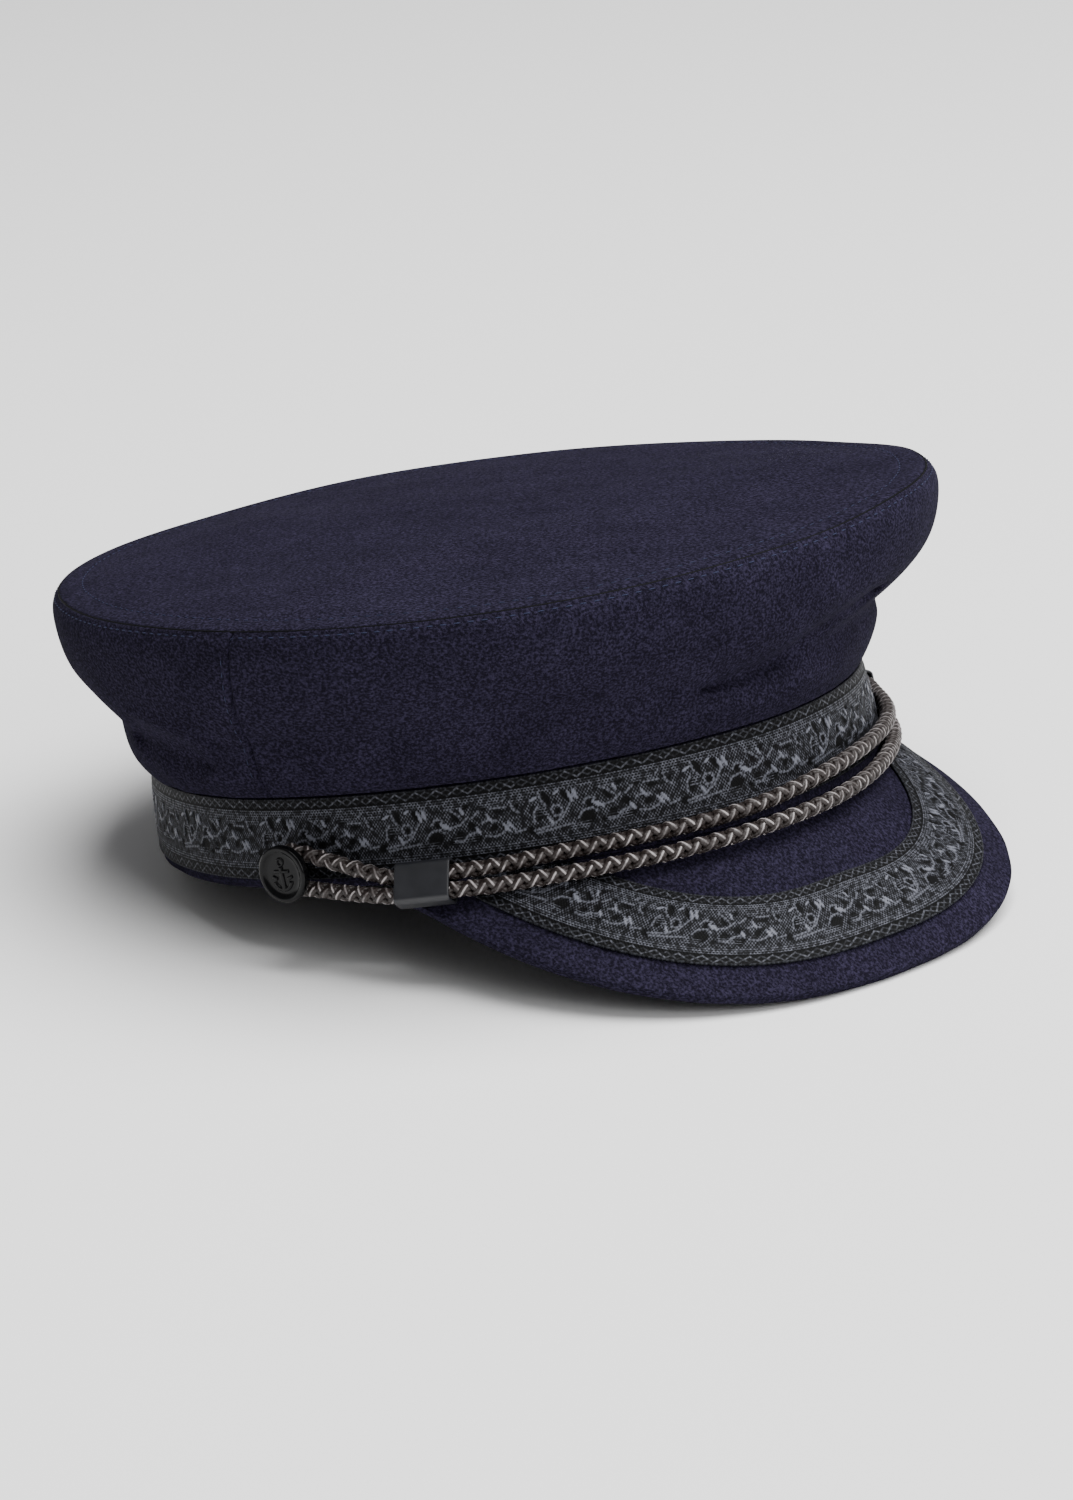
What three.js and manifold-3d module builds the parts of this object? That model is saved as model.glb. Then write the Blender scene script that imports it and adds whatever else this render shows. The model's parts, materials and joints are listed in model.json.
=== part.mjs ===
// Breton fisherman cap with a soft overhanging crown, braided chin cord and cloth peak.
// Millimetres, +Z up, the peak towards -Y, +X on the wearer's left.
// Every piece is shaped with the cap's rim level at z = 0, and the whole cap is then tipped
// so that it rests on the tip of its peak and the back of its rim.

import * as THREE from 'three';
import { mergeVertices } from 'three/addons/utils/BufferGeometryUtils.js';
import Module from 'manifold-3d';

// Head opening and band
const headLength = 201.5;
const headWidth = 171.5;
const headSquareness = 1.85;
const bandWall = 2.4;
const bandHeight = 22.3;
const bandTaper = 2;

// Crown: sizes at the seam that joins the oval top to the sides
const crownLength = 236;
const crownWidth = 200.5;
const crownSquareness = 2.15;
const crownFullness = 0.03;
const crownForward = 1.4;
const crownSideways = 3;
const crownDip = 1.4;
const crownRise = 44.8;
const crownDome = 5;
const domeFlatness = 2.5;
const clothWall = 2;
const rollBulge = 4.8;
const edgeBulge = 2.6;
const seamMitre = 60;
const sideSeamAngle = 81;

// Peak
const peakHalfAngle = 63;
const peakReach = 34.9;
const peakDrop = 35.8;
const peakRootHeight = 0;
const peakThickness = 3;
const peakCamber = 1;
const peakRoundness = 0.84;
const rootEvenness = 0.3;
const rootBlend = 0.33;

// Woven braid on the band and on the peak
const braidWidth = 19.5;
const braidThickness = 0.9;
const bandBraidMargin = 2.6;
const peakBraidMargin = 8.5;
const peakBraidEnd = 5;

// Chin cord, keepers and side buttons
const cordDiameter = 4.2;
const keeperLength = 14;
const keeperWall = 0.6;
const keeperCorner = 1.6;
const mouthRun = 1.5;
const buttonDiameter = 14;
const buttonThickness = 2.6;
const buttonBevel = 0.9;
const buttonRim = 1.1;
const rimRound = 0.4;
const shankDiameter = 4;
const shankSlack = 0.6;
const anchorHeight = 8.4;
const anchorBar = 1.1;
const anchorRing = 2.2;
const anchorStock = 4.4;
const anchorArms = 6;
const anchorArmAngle = 76;
const anchorRelief = 0.45;

// Clearance between pieces that touch on the real cap
const gap = 0.3;

// Facets
const aroundSteps = 70;
const peakSteps = 36;
const peakBraidSteps = 44;
const braidSteps = 80;
const peakBraidRows = 3;
const cordSides = 8;
const turnSteps = 6;
const mouthSteps = 3;
const buttonSegments = 24;
const anchorSegments = 10;
const cornerSegments = 3;

// Shortest length that counts, and the reach within which corners are one
const tiny = 1e-4;

// Section of the crown's side from the band up to the edge seam.
// up: share of crownRise. soft, deep: share of the way from the band's oval out to the seam's
// oval, where the side hangs smooth and where it breaks over a crease. roll: share of rollBulge.
// edge: share of edgeBulge.
const sideSections = [
  { up: 0, soft: 0, deep: 0, roll: 0.26, edge: 0 }, // hem
  { up: 0.055, soft: 0, deep: 0, roll: 0.6, edge: 0 }, // lower roll
  { up: 0.13, soft: 0.03, deep: 0, roll: 0.9, edge: 0 }, // roll
  { up: 0.22, soft: 0.1, deep: 0.01, roll: 1, edge: 0 }, // upper roll
  { up: 0.3, soft: 0.18, deep: 0.03, roll: 0.97, edge: 0 }, // above the roll
  { up: 0.37, soft: 0.27, deep: 0.07, roll: 0.88, edge: 0 }, // crease
  { up: 0.43, soft: 0.37, deep: 0.31, roll: 0.82, edge: 0.05 }, // underside
  { up: 0.51, soft: 0.5, deep: 0.6, roll: 0.6, edge: 0.15 }, // lower belly
  { up: 0.61, soft: 0.66, deep: 0.83, roll: 0.35, edge: 0.4 }, // belly
  { up: 0.73, soft: 0.82, deep: 0.95, roll: 0.12, edge: 0.7 }, // upper belly
  { up: 0.85, soft: 0.94, deep: 0.99, roll: 0, edge: 0.95 }, // shoulder
  { up: 0.94, soft: 0.99, deep: 1, roll: 0, edge: 0.85 }, // edge
  { up: 1, soft: 1, deep: 1, roll: 0, edge: 0 }, // seam
];

// Folds around the crown's side. angle: degrees from the front, positive on the wearer's left.
// crease: how far the section goes from soft to deep. lift: how far the crease rises, as a share
// of crownRise. slack: how far the cloth stands out above the band, as a share of rollBulge.
// seam: how far the edge seam rises, as a share of crownRise.
const sideFolds = [
  { angle: -180, crease: 0.75, lift: 0, slack: 0, seam: 0 },
  { angle: -150, crease: 0.85, lift: 0.02, slack: 0.1, seam: 0.01 },
  { angle: -126, crease: 1, lift: 0, slack: 0, seam: 0.01 },
  { angle: -104, crease: 0.6, lift: -0.03, slack: 0.25, seam: 0 },
  { angle: -80, crease: 0.45, lift: -0.04, slack: -0.15, seam: 0 },
  { angle: -58, crease: 0.25, lift: -0.02, slack: 0.1, seam: 0 },
  { angle: -30, crease: 0.3, lift: -0.05, slack: 0.05, seam: 0 },
  { angle: 0, crease: 0.55, lift: -0.04, slack: 0.1, seam: 0.01 },
  { angle: 28, crease: 0.8, lift: -0.01, slack: 0, seam: 0.05 },
  { angle: 54, crease: 0.85, lift: 0, slack: 0.05, seam: 0.04 },
  { angle: 80, crease: 0.5, lift: -0.03, slack: -0.1, seam: 0 },
  { angle: 106, crease: 0.65, lift: 0.01, slack: 0.15, seam: -0.01 },
  { angle: 132, crease: 0.95, lift: 0, slack: 0, seam: 0 },
  { angle: 156, crease: 0.7, lift: -0.02, slack: 0.1, seam: 0.01 },
];

// Rings of the crown's top from its edge to the middle, as shares of the way out
const topRings = [1, 0.975, 0.93, 0.82, 0.6, 0.3, 0];

// Rows of the peak from its free edge to the band, as shares of its width
const peakRows = [1, 0.94, 0.75, 0.5, 0.25, 0];

// Keepers, which slide along the cord: degrees from the front, height above the rim and how far
// the foot of the keeper leans out over the peak
const keepers = {
  right: { angle: -55.3, height: 1.2, lean: 32 },
  left: { angle: 71, height: 5.7, lean: 3 },
};

// Side buttons: degrees from the front and height above the rim
const buttons = {
  right: { angle: -76, height: 6.1 },
  left: { angle: 81, height: 6.1 },
};

// Chin cord between the keepers, chosen by hand: degrees from the front, height above the rim
// and distance of its middle from the band
const upperStrand = [
  { angle: -45, height: 2.9, standOff: 4.6 },
  { angle: -38, height: 3.5, standOff: 3.9 },
  { angle: -30, height: 3.8, standOff: 3.7 },
  { angle: -21, height: 3.8, standOff: 3.6 },
  { angle: -12, height: 3.9, standOff: 3.6 },
  { angle: -4, height: 4.6, standOff: 3.6 },
  { angle: 5, height: 5.8, standOff: 3.6 },
  { angle: 15, height: 6.8, standOff: 3.6 },
  { angle: 26, height: 7.2, standOff: 3.6 },
  { angle: 38, height: 7.3, standOff: 3.6 },
  { angle: 49, height: 7.4, standOff: 3.6 },
  { angle: 59, height: 7.7, standOff: 3.8 },
];
const lowerStrand = [
  { angle: 59, height: 3, standOff: 3.9 },
  { angle: 49, height: 2.3, standOff: 3.7 },
  { angle: 38, height: 1.9, standOff: 3.8 },
  { angle: 26, height: 1.5, standOff: 4.6 },
  { angle: 15, height: 0.9, standOff: 5.8 },
  { angle: 5, height: 0.4, standOff: 6.8 },
  { angle: -4, height: -0.1, standOff: 6.9 },
  { angle: -12, height: -0.5, standOff: 7 },
  { angle: -21, height: -0.8, standOff: 7 },
  { angle: -30, height: -0.8, standOff: 7.1 },
  { angle: -38, height: -0.9, standOff: 7.2 },
  { angle: -45, height: -1, standOff: 7.5 },
];

// Colours and finish of the dry cap
const finishes = {
  wool: { color: 0x20243a, roughness: 0.95 },
  braid: { color: 0x15161b, roughness: 0.5 },
  cord: { color: 0x1d1b1e, roughness: 0.6 },
  keeper: { color: 0x25272d, roughness: 0.55 },
  button: { color: 0x17181d, roughness: 0.25 },
};

const wasm = await Module();
wasm.setup();

const toRadians = THREE.MathUtils.degToRad;
const mix = THREE.MathUtils.lerp;

// Sizes that follow from those above
const bandHalfLength = headLength / 2 + bandWall;
const bandHalfWidth = headWidth / 2 + bandWall;
const braidStandOff = gap + braidThickness;
const cordRadius = cordDiameter / 2;
const seamHeight = bandHeight + gap + crownRise;

// Point of a rounded oval at an angle from the front
function oval(halfLength, halfWidth, squareness, angle) {
  const c = Math.cos(angle);
  const s = Math.sin(angle);
  const f = (Math.abs(c) ** squareness + Math.abs(s) ** squareness) ** (-1 / squareness);
  return new THREE.Vector3(halfWidth * s * f, -halfLength * c * f, 0);
}

// Point of the band's outside, which leans in towards its top
function bandPoint(angle, height) {
  const inset = bandTaper * height / bandHeight;
  const point = oval(bandHalfLength - inset, bandHalfWidth - inset, headSquareness, angle);
  return point.setZ(height);
}

// Point of the edge seam, or of the top at a share of the way out to it: an oval fuller at the
// front, which lies forward and to one side of the head opening and dips at the front
function seamPoint(angle, share) {
  const point = oval(crownLength / 2, crownWidth / 2, crownSquareness, angle).multiplyScalar(share);
  point.x *= 1 - crownFullness * point.y / (crownLength / 2);
  const wave = crownRise * around(sideFolds, 'seam', angle) * share ** 2;
  point.z = seamHeight + point.y * Math.tan(toRadians(crownDip)) + wave;
  point.x += crownSideways;
  point.y -= crownForward;
  return point;
}

// Level direction square to the band's outside
function outward(angle) {
  const step = 0.01;
  const along = bandPoint(angle + step, 0).sub(bandPoint(angle - step, 0));
  return new THREE.Vector3(along.y, -along.x, 0).normalize();
}

// Place at a distance from the band's outside, at a height above the rim
function beside(angle, standOff, height) {
  return bandPoint(angle, height).addScaledVector(outward(angle), standOff);
}

// Evenly spaced values, both ends included
function spread(from, to, steps) {
  return Array.from({ length: steps + 1 }, (_, i) => mix(from, to, i / steps));
}

// Value of one column of a table of rows around the cap, eased from row to row
function around(rows, column, angle) {
  const degrees = THREE.MathUtils.euclideanModulo(THREE.MathUtils.radToDeg(angle) + 180, 360) - 180;
  let next = rows.findIndex((row) => row.angle > degrees);
  if (next < 0) {
    next = rows.length;
  }
  const before = rows[next - 1];
  const after = rows[next % rows.length];
  const span = THREE.MathUtils.euclideanModulo(after.angle - before.angle, 360);
  const share = (degrees - before.angle) / span;
  return mix(before[column], after[column], (1 - Math.cos(Math.PI * share)) / 2);
}

// Directions square to a grid of surface points, grid[column][row]
function gridNormals(grid, wrap) {
  const last = grid.length - 1;
  return grid.map((column, i) => column.map((point, j) => {
    const left = wrap ? grid[(i + last) % (last + 1)][j] : grid[Math.max(i - 1, 0)][j];
    const right = wrap ? grid[(i + 1) % (last + 1)][j] : grid[Math.min(i + 1, last)][j];
    const low = column[Math.max(j - 1, 0)];
    const high = column[Math.min(j + 1, column.length - 1)];
    const normal = right.clone().sub(left).cross(high.clone().sub(low));
    return normal.length() > tiny ? normal.normalize() : new THREE.Vector3(0, 0, 1);
  }));
}

// The grid moved along its own normals
function offsetGrid(grid, distance, wrap) {
  const normals = gridNormals(grid, wrap);
  return grid.map((column, i) => column.map((point, j) => (
    point.clone().addScaledVector(normals[i][j], distance)
  )));
}

// Closed solid between an outer and an inner grid of points, grid[column][row], with the
// columns counterclockwise as seen from above and the outer face at the columns' right hand
function wallGeometry(outer, inner, wrap) {
  const columns = outer.length;
  const rows = outer[0].length;
  const corners = [];
  const triangle = (a, b, c) => {
    const doubledArea = b.clone().sub(a).cross(c.clone().sub(a)).length();
    if (doubledArea > tiny) {
      corners.push(a, b, c);
    }
  };
  const quad = (a, b, c, d) => {
    triangle(a, b, c);
    triangle(a, c, d);
  };
  const lastSpan = wrap ? columns : columns - 1;
  for (let i = 0; i < lastSpan; i += 1) {
    const k = (i + 1) % columns;
    for (let j = 0; j < rows - 1; j += 1) {
      quad(outer[i][j], outer[k][j], outer[k][j + 1], outer[i][j + 1]);
      quad(inner[i][j + 1], inner[k][j + 1], inner[k][j], inner[i][j]);
    }
    quad(inner[i][0], inner[k][0], outer[k][0], outer[i][0]);
    quad(outer[i][rows - 1], outer[k][rows - 1], inner[k][rows - 1], inner[i][rows - 1]);
  }
  if (!wrap) {
    const end = columns - 1;
    for (let j = 0; j < rows - 1; j += 1) {
      quad(outer[0][j], outer[0][j + 1], inner[0][j + 1], inner[0][j]);
      quad(inner[end][j], inner[end][j + 1], outer[end][j + 1], outer[end][j]);
    }
  }
  return new THREE.BufferGeometry().setFromPoints(corners);
}

// Upright ring that follows the band's oval between two distances from its outside
function ringGeometry(innerStandOff, outerStandOff, bottom, top, steps) {
  const angles = spread(-Math.PI, Math.PI, steps).slice(0, -1);
  const face = (standOff) => angles.map((angle) => (
    [bottom, top].map((height) => beside(angle, standOff, height))
  ));
  return wallGeometry(face(outerStandOff), face(innerStandOff), true);
}

// Outside of the crown's side at an angle, for one row of the section table
function sidePoint(section, angle) {
  const crease = around(sideFolds, 'crease', angle);
  const slack = around(sideFolds, 'slack', angle);
  const lift = around(sideFolds, 'lift', angle) * Math.sin(Math.PI * section.up);
  const seam = seamPoint(angle, 1);
  const foot = bandPoint(angle, bandHeight);
  const point = foot.clone().lerp(seam, mix(section.soft, section.deep, crease));
  const roll = rollBulge * section.roll * (1 + slack * Math.sin(Math.PI * section.up * 2));
  point.addScaledVector(outward(angle), roll + edgeBulge * section.edge);
  return point.setZ(mix(bandHeight + gap, seam.z, section.up + lift));
}

// Direction from the edge seam into the cloth, halfway between the side and the top
function mitre(angle) {
  const level = Math.cos(toRadians(seamMitre));
  const down = Math.sin(toRadians(seamMitre));
  return outward(angle).multiplyScalar(-level).setZ(-down);
}

// One panel of the crown's side between two side seams
function sidePanel(from, to) {
  const reach = Math.abs(to - from) / (2 * Math.PI);
  const seamGap = gap / crownWidth;
  const angles = spread(from + seamGap, to - seamGap, Math.round(aroundSteps * reach));
  const outer = angles.map((angle) => sideSections.map((section) => sidePoint(section, angle)));
  const inner = offsetGrid(outer, -clothWall, false);
  angles.forEach((angle, i) => {
    const top = sideSections.length - 1;
    const shift = outward(angle).multiplyScalar(gap / 2).setZ(-gap / 2);
    outer[i][top].add(shift);
    inner[i][top].copy(outer[i][top]).addScaledVector(mitre(angle), clothWall);
    inner[i][0].copy(outer[i][0]).addScaledVector(outward(angle), -clothWall);
  });
  return wallGeometry(outer, inner, false);
}

// Oval top of the crown, gently domed
function crownTop() {
  const angles = spread(-Math.PI, Math.PI, aroundSteps).slice(0, -1);
  const outer = angles.map((angle) => topRings.map((ring) => {
    const point = seamPoint(angle, ring);
    point.z += crownDome * (1 - ring ** domeFlatness);
    return point;
  }));
  const inner = offsetGrid(outer, -clothWall, true);
  angles.forEach((angle, i) => {
    const shift = outward(angle).multiplyScalar(-gap / 2);
    outer[i][0].add(shift);
    inner[i][0].copy(outer[i][0]).addScaledVector(mitre(angle), clothWall);
  });
  return wallGeometry(outer, inner, true);
}

// Point of the peak's upper face. turn runs from -90 degrees at its right corner to 90 at its
// left one, and share from 0 at the band to 1 at the free edge. The camber lifts the middle of
// the width, and pushes it forward by half as much
function peakPoint(turn, share) {
  const half = toRadians(peakHalfAngle);
  const along = turn / (Math.PI / 2);
  const rootTurn = along * (rootEvenness + (1 - rootEvenness) * along ** 2);
  const root = beside(half * rootTurn, gap, peakRootHeight);
  const corner = beside(half, gap, peakRootHeight);
  const c = Math.abs(Math.cos(turn)) ** peakRoundness;
  const s = Math.sign(turn) * Math.abs(Math.sin(turn)) ** peakRoundness;
  const length = bandHalfLength + peakReach + corner.y;
  const edge = new THREE.Vector3(corner.x * s, corner.y - length * c, corner.z - peakDrop * c);
  const camber = peakCamber * c * Math.sin(Math.PI * share);
  return root.lerp(edge, share).add(new THREE.Vector3(0, -camber / 2, camber));
}

// Width of the peak along one turn
function peakWidth(turn) {
  return peakPoint(turn, 0).distanceTo(peakPoint(turn, 1));
}

// The peak: a stiff board covered with cloth. Its underside lies straight below its upper face
// at the band, and square to it farther out
function peakGeometry() {
  const turns = spread(-Math.PI / 2, Math.PI / 2, peakSteps);
  const upper = turns.map((turn) => peakRows.map((share) => peakPoint(turn, share)));
  const normals = gridNormals(upper, false);
  const up = new THREE.Vector3(0, 0, 1);
  const lower = upper.map((column, i) => column.map((point, j) => {
    const direction = up.clone().lerp(normals[i][j], Math.min(1, peakRows[j] / rootBlend));
    return point.clone().addScaledVector(direction.normalize(), -peakThickness);
  }));
  return wallGeometry(upper, lower, false);
}

// Braid sewn on the peak along its edge, as far as the corners leave room for it
function peakBraid() {
  const fits = (turn) => peakWidth(turn) > peakBraidMargin + peakBraidEnd;
  const turns = spread(-Math.PI / 2, Math.PI / 2, peakBraidSteps).filter(fits);
  const face = turns.map((turn) => {
    const width = peakWidth(turn);
    const outerShare = 1 - peakBraidMargin / width;
    const innerShare = Math.max(1 - (peakBraidMargin + braidWidth) / width, gap / width);
    return spread(outerShare, innerShare, peakBraidRows).map((share) => peakPoint(turn, share));
  });
  return wallGeometry(offsetGrid(face, braidStandOff, false), offsetGrid(face, gap, false), false);
}

// Placement of a fitting on the band: X along it, Y up, Z outwards, leaning back by an angle
function fittingMatrix(angle, standOff, height, lean) {
  const out = outward(angle);
  const along = new THREE.Vector3(-out.y, out.x, 0);
  const leaned = new THREE.Matrix4().makeRotationX(-toRadians(lean));
  const matrix = new THREE.Matrix4().makeBasis(along, new THREE.Vector3(0, 0, 1), out);
  return matrix.multiply(leaned).setPosition(beside(angle, standOff, height));
}

// Sizes of a keeper around the two strands
const strandSpacing = cordDiameter + gap;
const keeperInnerHeight = strandSpacing + cordDiameter + 2 * gap;
const keeperInnerDepth = cordDiameter + 2 * gap;
const keeperOuterHeight = keeperInnerHeight + 2 * keeperWall;
const keeperOuterDepth = keeperInnerDepth + 2 * keeperWall;

// Placement of a keeper, standing clear of the braid at its upper back edge
function keeperMatrix(side) {
  const { angle, height, lean } = keepers[side];
  const slope = toRadians(lean);
  const back = (keeperOuterHeight * Math.sin(slope) + keeperOuterDepth * Math.cos(slope)) / 2;
  return fittingMatrix(toRadians(angle), braidStandOff + gap + back, height, lean);
}

// Placement of a side button, Z outwards from the foot of its shank
function buttonMatrix(side) {
  const { angle, height } = buttons[side];
  return fittingMatrix(toRadians(angle), braidStandOff + gap, height, 0);
}

function roundedRectangle(shape, width, height, radius) {
  const x = width / 2 - radius;
  const y = height / 2 - radius;
  shape.absarc(x, y, radius, 0, Math.PI / 2);
  shape.absarc(-x, y, radius, Math.PI / 2, Math.PI);
  shape.absarc(-x, -y, radius, Math.PI, 1.5 * Math.PI);
  shape.absarc(x, -y, radius, 1.5 * Math.PI, 2 * Math.PI);
  return shape;
}

// Flat sleeve that gathers the two strands
function keeperGeometry(side) {
  const section = roundedRectangle(new THREE.Shape(), keeperOuterDepth, keeperOuterHeight, keeperCorner);
  const bore = new THREE.Path();
  const innerCorner = keeperCorner - keeperWall;
  section.holes.push(roundedRectangle(bore, keeperInnerDepth, keeperInnerHeight, innerCorner));
  const options = { depth: keeperLength, bevelEnabled: false, curveSegments: cornerSegments };
  const sleeve = new THREE.ExtrudeGeometry(section, options);
  sleeve.translate(0, 0, -keeperLength / 2);
  sleeve.rotateY(-Math.PI / 2);
  return sleeve.applyMatrix4(keeperMatrix(side));
}

// Middle of the cord where it turns round a button's shank
const cordFromShank = shankDiameter / 2 + gap + cordRadius;
const shankLength = cordDiameter + 2 * gap + shankSlack;

// Points of the cord inside a keeper, in line with its bore, from one mouth to the other
function strandInKeeper(side, row) {
  const reach = keeperLength / 2 + mouthRun;
  const places = spread(-reach, reach, mouthSteps);
  return places.map((x) => (
    new THREE.Vector3(x, row * strandSpacing / 2, 0).applyMatrix4(keeperMatrix(side))
  ));
}

// Points of the cord round the back of a shank, from above it to below it
function turnRoundShank(side) {
  const backwards = side === 'left' ? 1 : -1;
  return spread(Math.PI / 2, -Math.PI / 2, turnSteps).map((angle) => {
    const x = backwards * cordFromShank * Math.cos(angle);
    const y = cordFromShank * Math.sin(angle);
    return new THREE.Vector3(x, y, shankLength / 2).applyMatrix4(buttonMatrix(side));
  });
}

// Closed route of the chin cord: along the upper strand, round the left shank, back along the
// lower strand and round the right shank
function cordRoute() {
  const place = (row) => beside(toRadians(row.angle), row.standOff, row.height);
  return [
    ...strandInKeeper('right', 1),
    ...upperStrand.map(place),
    ...strandInKeeper('left', 1),
    ...turnRoundShank('left'),
    ...strandInKeeper('left', -1).reverse(),
    ...lowerStrand.map(place),
    ...strandInKeeper('right', -1).reverse(),
    ...turnRoundShank('right').reverse(),
  ];
}

// Round tube along a closed route, with a ring at each point and one between
function loopGeometry(route, radius) {
  const curve = new THREE.CatmullRomCurve3(route, true, 'centripetal');
  const rings = 2 * route.length;
  const place = (k) => curve.getPoint(THREE.MathUtils.euclideanModulo(k, rings) / rings);
  const nearby = 0.25;
  const ring = (k) => {
    const centre = place(k);
    const along = place(k + nearby).sub(place(k - nearby)).normalize();
    const level = new THREE.Vector3(centre.x, centre.y, 0);
    const out = level.addScaledVector(along, -level.dot(along)).normalize();
    const across = new THREE.Vector3().crossVectors(along, out);
    return spread(0, 2 * Math.PI, cordSides).slice(0, -1).map((angle) => (
      centre.clone().addScaledVector(out, radius * Math.cos(angle))
        .addScaledVector(across, radius * Math.sin(angle))
    ));
  };
  const grid = Array.from({ length: rings }, (_, k) => ring(k));
  const corners = [];
  grid.forEach((here, k) => {
    const next = grid[(k + 1) % rings];
    here.forEach((point, j) => {
      const l = (j + 1) % cordSides;
      corners.push(point, next[l], next[j], point, here[l], next[l]);
    });
  });
  return new THREE.BufferGeometry().setFromPoints(corners);
}

// A closed geometry as a solid that can be joined
function toSolid(geometry) {
  const bare = geometry.clone();
  bare.deleteAttribute('normal');
  bare.deleteAttribute('uv');
  const merged = mergeVertices(bare, tiny);
  return new wasm.Manifold(new wasm.Mesh({
    numProp: 3,
    vertProperties: Float32Array.from(merged.attributes.position.array),
    triVerts: Uint32Array.from(merged.index.array),
  }));
}

function toGeometry(solid) {
  const mesh = solid.getMesh();
  const geometry = new THREE.BufferGeometry();
  geometry.setAttribute('position', new THREE.BufferAttribute(mesh.vertProperties, 3));
  geometry.setIndex(new THREE.BufferAttribute(mesh.triVerts, 1));
  return geometry;
}

// Plain anchor in relief, its foot sunk in the button's face: ring, shank, stock and arms
function anchorParts(face) {
  const depth = 2 * anchorRelief;
  const bottom = -anchorHeight / 2;
  const ringCentre = anchorHeight / 2 - anchorRing / 2;
  const stockHeight = ringCentre - anchorRing / 2 - anchorBar;
  const shank = stockHeight + anchorBar - bottom - anchorBar / 2;
  const reach = toRadians(anchorArmAngle);
  const armCentre = bottom + anchorArms / 2;
  const straightDown = 1.5 * Math.PI;
  const arms = new THREE.Shape();
  arms.absarc(0, armCentre, anchorArms / 2, straightDown - reach, straightDown + reach);
  const inner = anchorArms / 2 - anchorBar;
  arms.absarc(0, armCentre, inner, straightDown + reach, straightDown - reach, true);
  const ring = new THREE.Shape().absarc(0, ringCentre, anchorRing / 2, 0, 2 * Math.PI);
  const eye = (anchorRing - anchorBar) / 2;
  ring.holes.push(new THREE.Path().absarc(0, ringCentre, eye, 0, 2 * Math.PI));
  const options = { depth, bevelEnabled: false, curveSegments: anchorSegments };
  const raised = (shape) => (
    new THREE.ExtrudeGeometry(shape, options).translate(0, 0, face - depth / 2)
  );
  const bar = (width, height, y) => (
    new THREE.BoxGeometry(width, height, depth).translate(0, y, face)
  );
  return [
    raised(ring),
    bar(anchorBar, shank, bottom + anchorBar / 2 + shank / 2),
    bar(anchorStock, anchorBar, stockHeight),
    raised(arms),
  ];
}

// Round shank button with a raised rim and the anchor
function buttonGeometry(side) {
  const radius = buttonDiameter / 2;
  const back = shankLength;
  const front = back + buttonThickness;
  const floor = front - anchorRelief;
  const profile = [
    [0, 0],
    [shankDiameter / 2, 0],
    [shankDiameter / 2, back],
    [radius - buttonBevel, back],
    [radius, back + buttonBevel],
    [radius, front - rimRound],
    [radius - rimRound, front],
    [radius - buttonRim, front],
    [radius - buttonRim - anchorRelief, floor],
    [0, floor],
  ];
  const points = profile.map(([x, y]) => new THREE.Vector2(x, y));
  const turned = new THREE.LatheGeometry(points, buttonSegments).rotateX(Math.PI / 2);
  const pieces = [turned, ...anchorParts(floor)].map(toSolid);
  const joined = pieces.reduce((solid, piece) => solid.add(piece));
  return toGeometry(joined).applyMatrix4(buttonMatrix(side));
}

const cap = new THREE.Group();

function add(name, geometry, finish) {
  const mesh = new THREE.Mesh(geometry, new THREE.MeshStandardMaterial(finishes[finish]));
  mesh.name = name;
  cap.add(mesh);
}

const sideSeam = toRadians(sideSeamAngle);
add('crown_top', crownTop(), 'wool');
add('crown_side_front', sidePanel(-sideSeam, sideSeam), 'wool');
add('crown_side_back', sidePanel(sideSeam, 2 * Math.PI - sideSeam), 'wool');
add('head_band', ringGeometry(-bandWall, 0, 0, bandHeight, aroundSteps), 'wool');
const braidTop = bandBraidMargin + braidWidth;
add('band_braid', ringGeometry(gap, braidStandOff, bandBraidMargin, braidTop, braidSteps), 'braid');
add('peak', peakGeometry(), 'wool');
add('peak_braid', peakBraid(), 'braid');
add('chin_cord', loopGeometry(cordRoute(), cordRadius), 'cord');
['right', 'left'].forEach((side) => {
  add(`keeper_${side}`, keeperGeometry(side), 'keeper');
  add(`button_${side}`, buttonGeometry(side), 'button');
});

// Tip the cap back until the back of the rim and the lowest point of the peak are level
const peakCorners = cap.getObjectByName('peak').geometry.attributes.position;
let restPitch = 0;
for (let i = 0; i < peakCorners.count; i += 1) {
  const slope = Math.atan2(-peakCorners.getZ(i), bandHalfLength - peakCorners.getY(i));
  restPitch = Math.max(restPitch, slope);
}
cap.rotation.x = -restPitch;

// Stand it on the middle of its footprint
const model = new THREE.Group();
model.add(cap);
const box = new THREE.Box3().setFromObject(model, true);
cap.position.set(-(box.min.x + box.max.x) / 2, -(box.min.y + box.max.y) / 2, -box.min.z);
model.updateMatrixWorld(true);

export default model;
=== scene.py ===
import json
import math

import bmesh
import bpy
import numpy as np
from bpy.props import FloatProperty, PointerProperty, StringProperty
from mathutils import Matrix, Vector, noise
from mathutils.bvhtree import BVHTree
from mathutils.kdtree import KDTree


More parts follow.
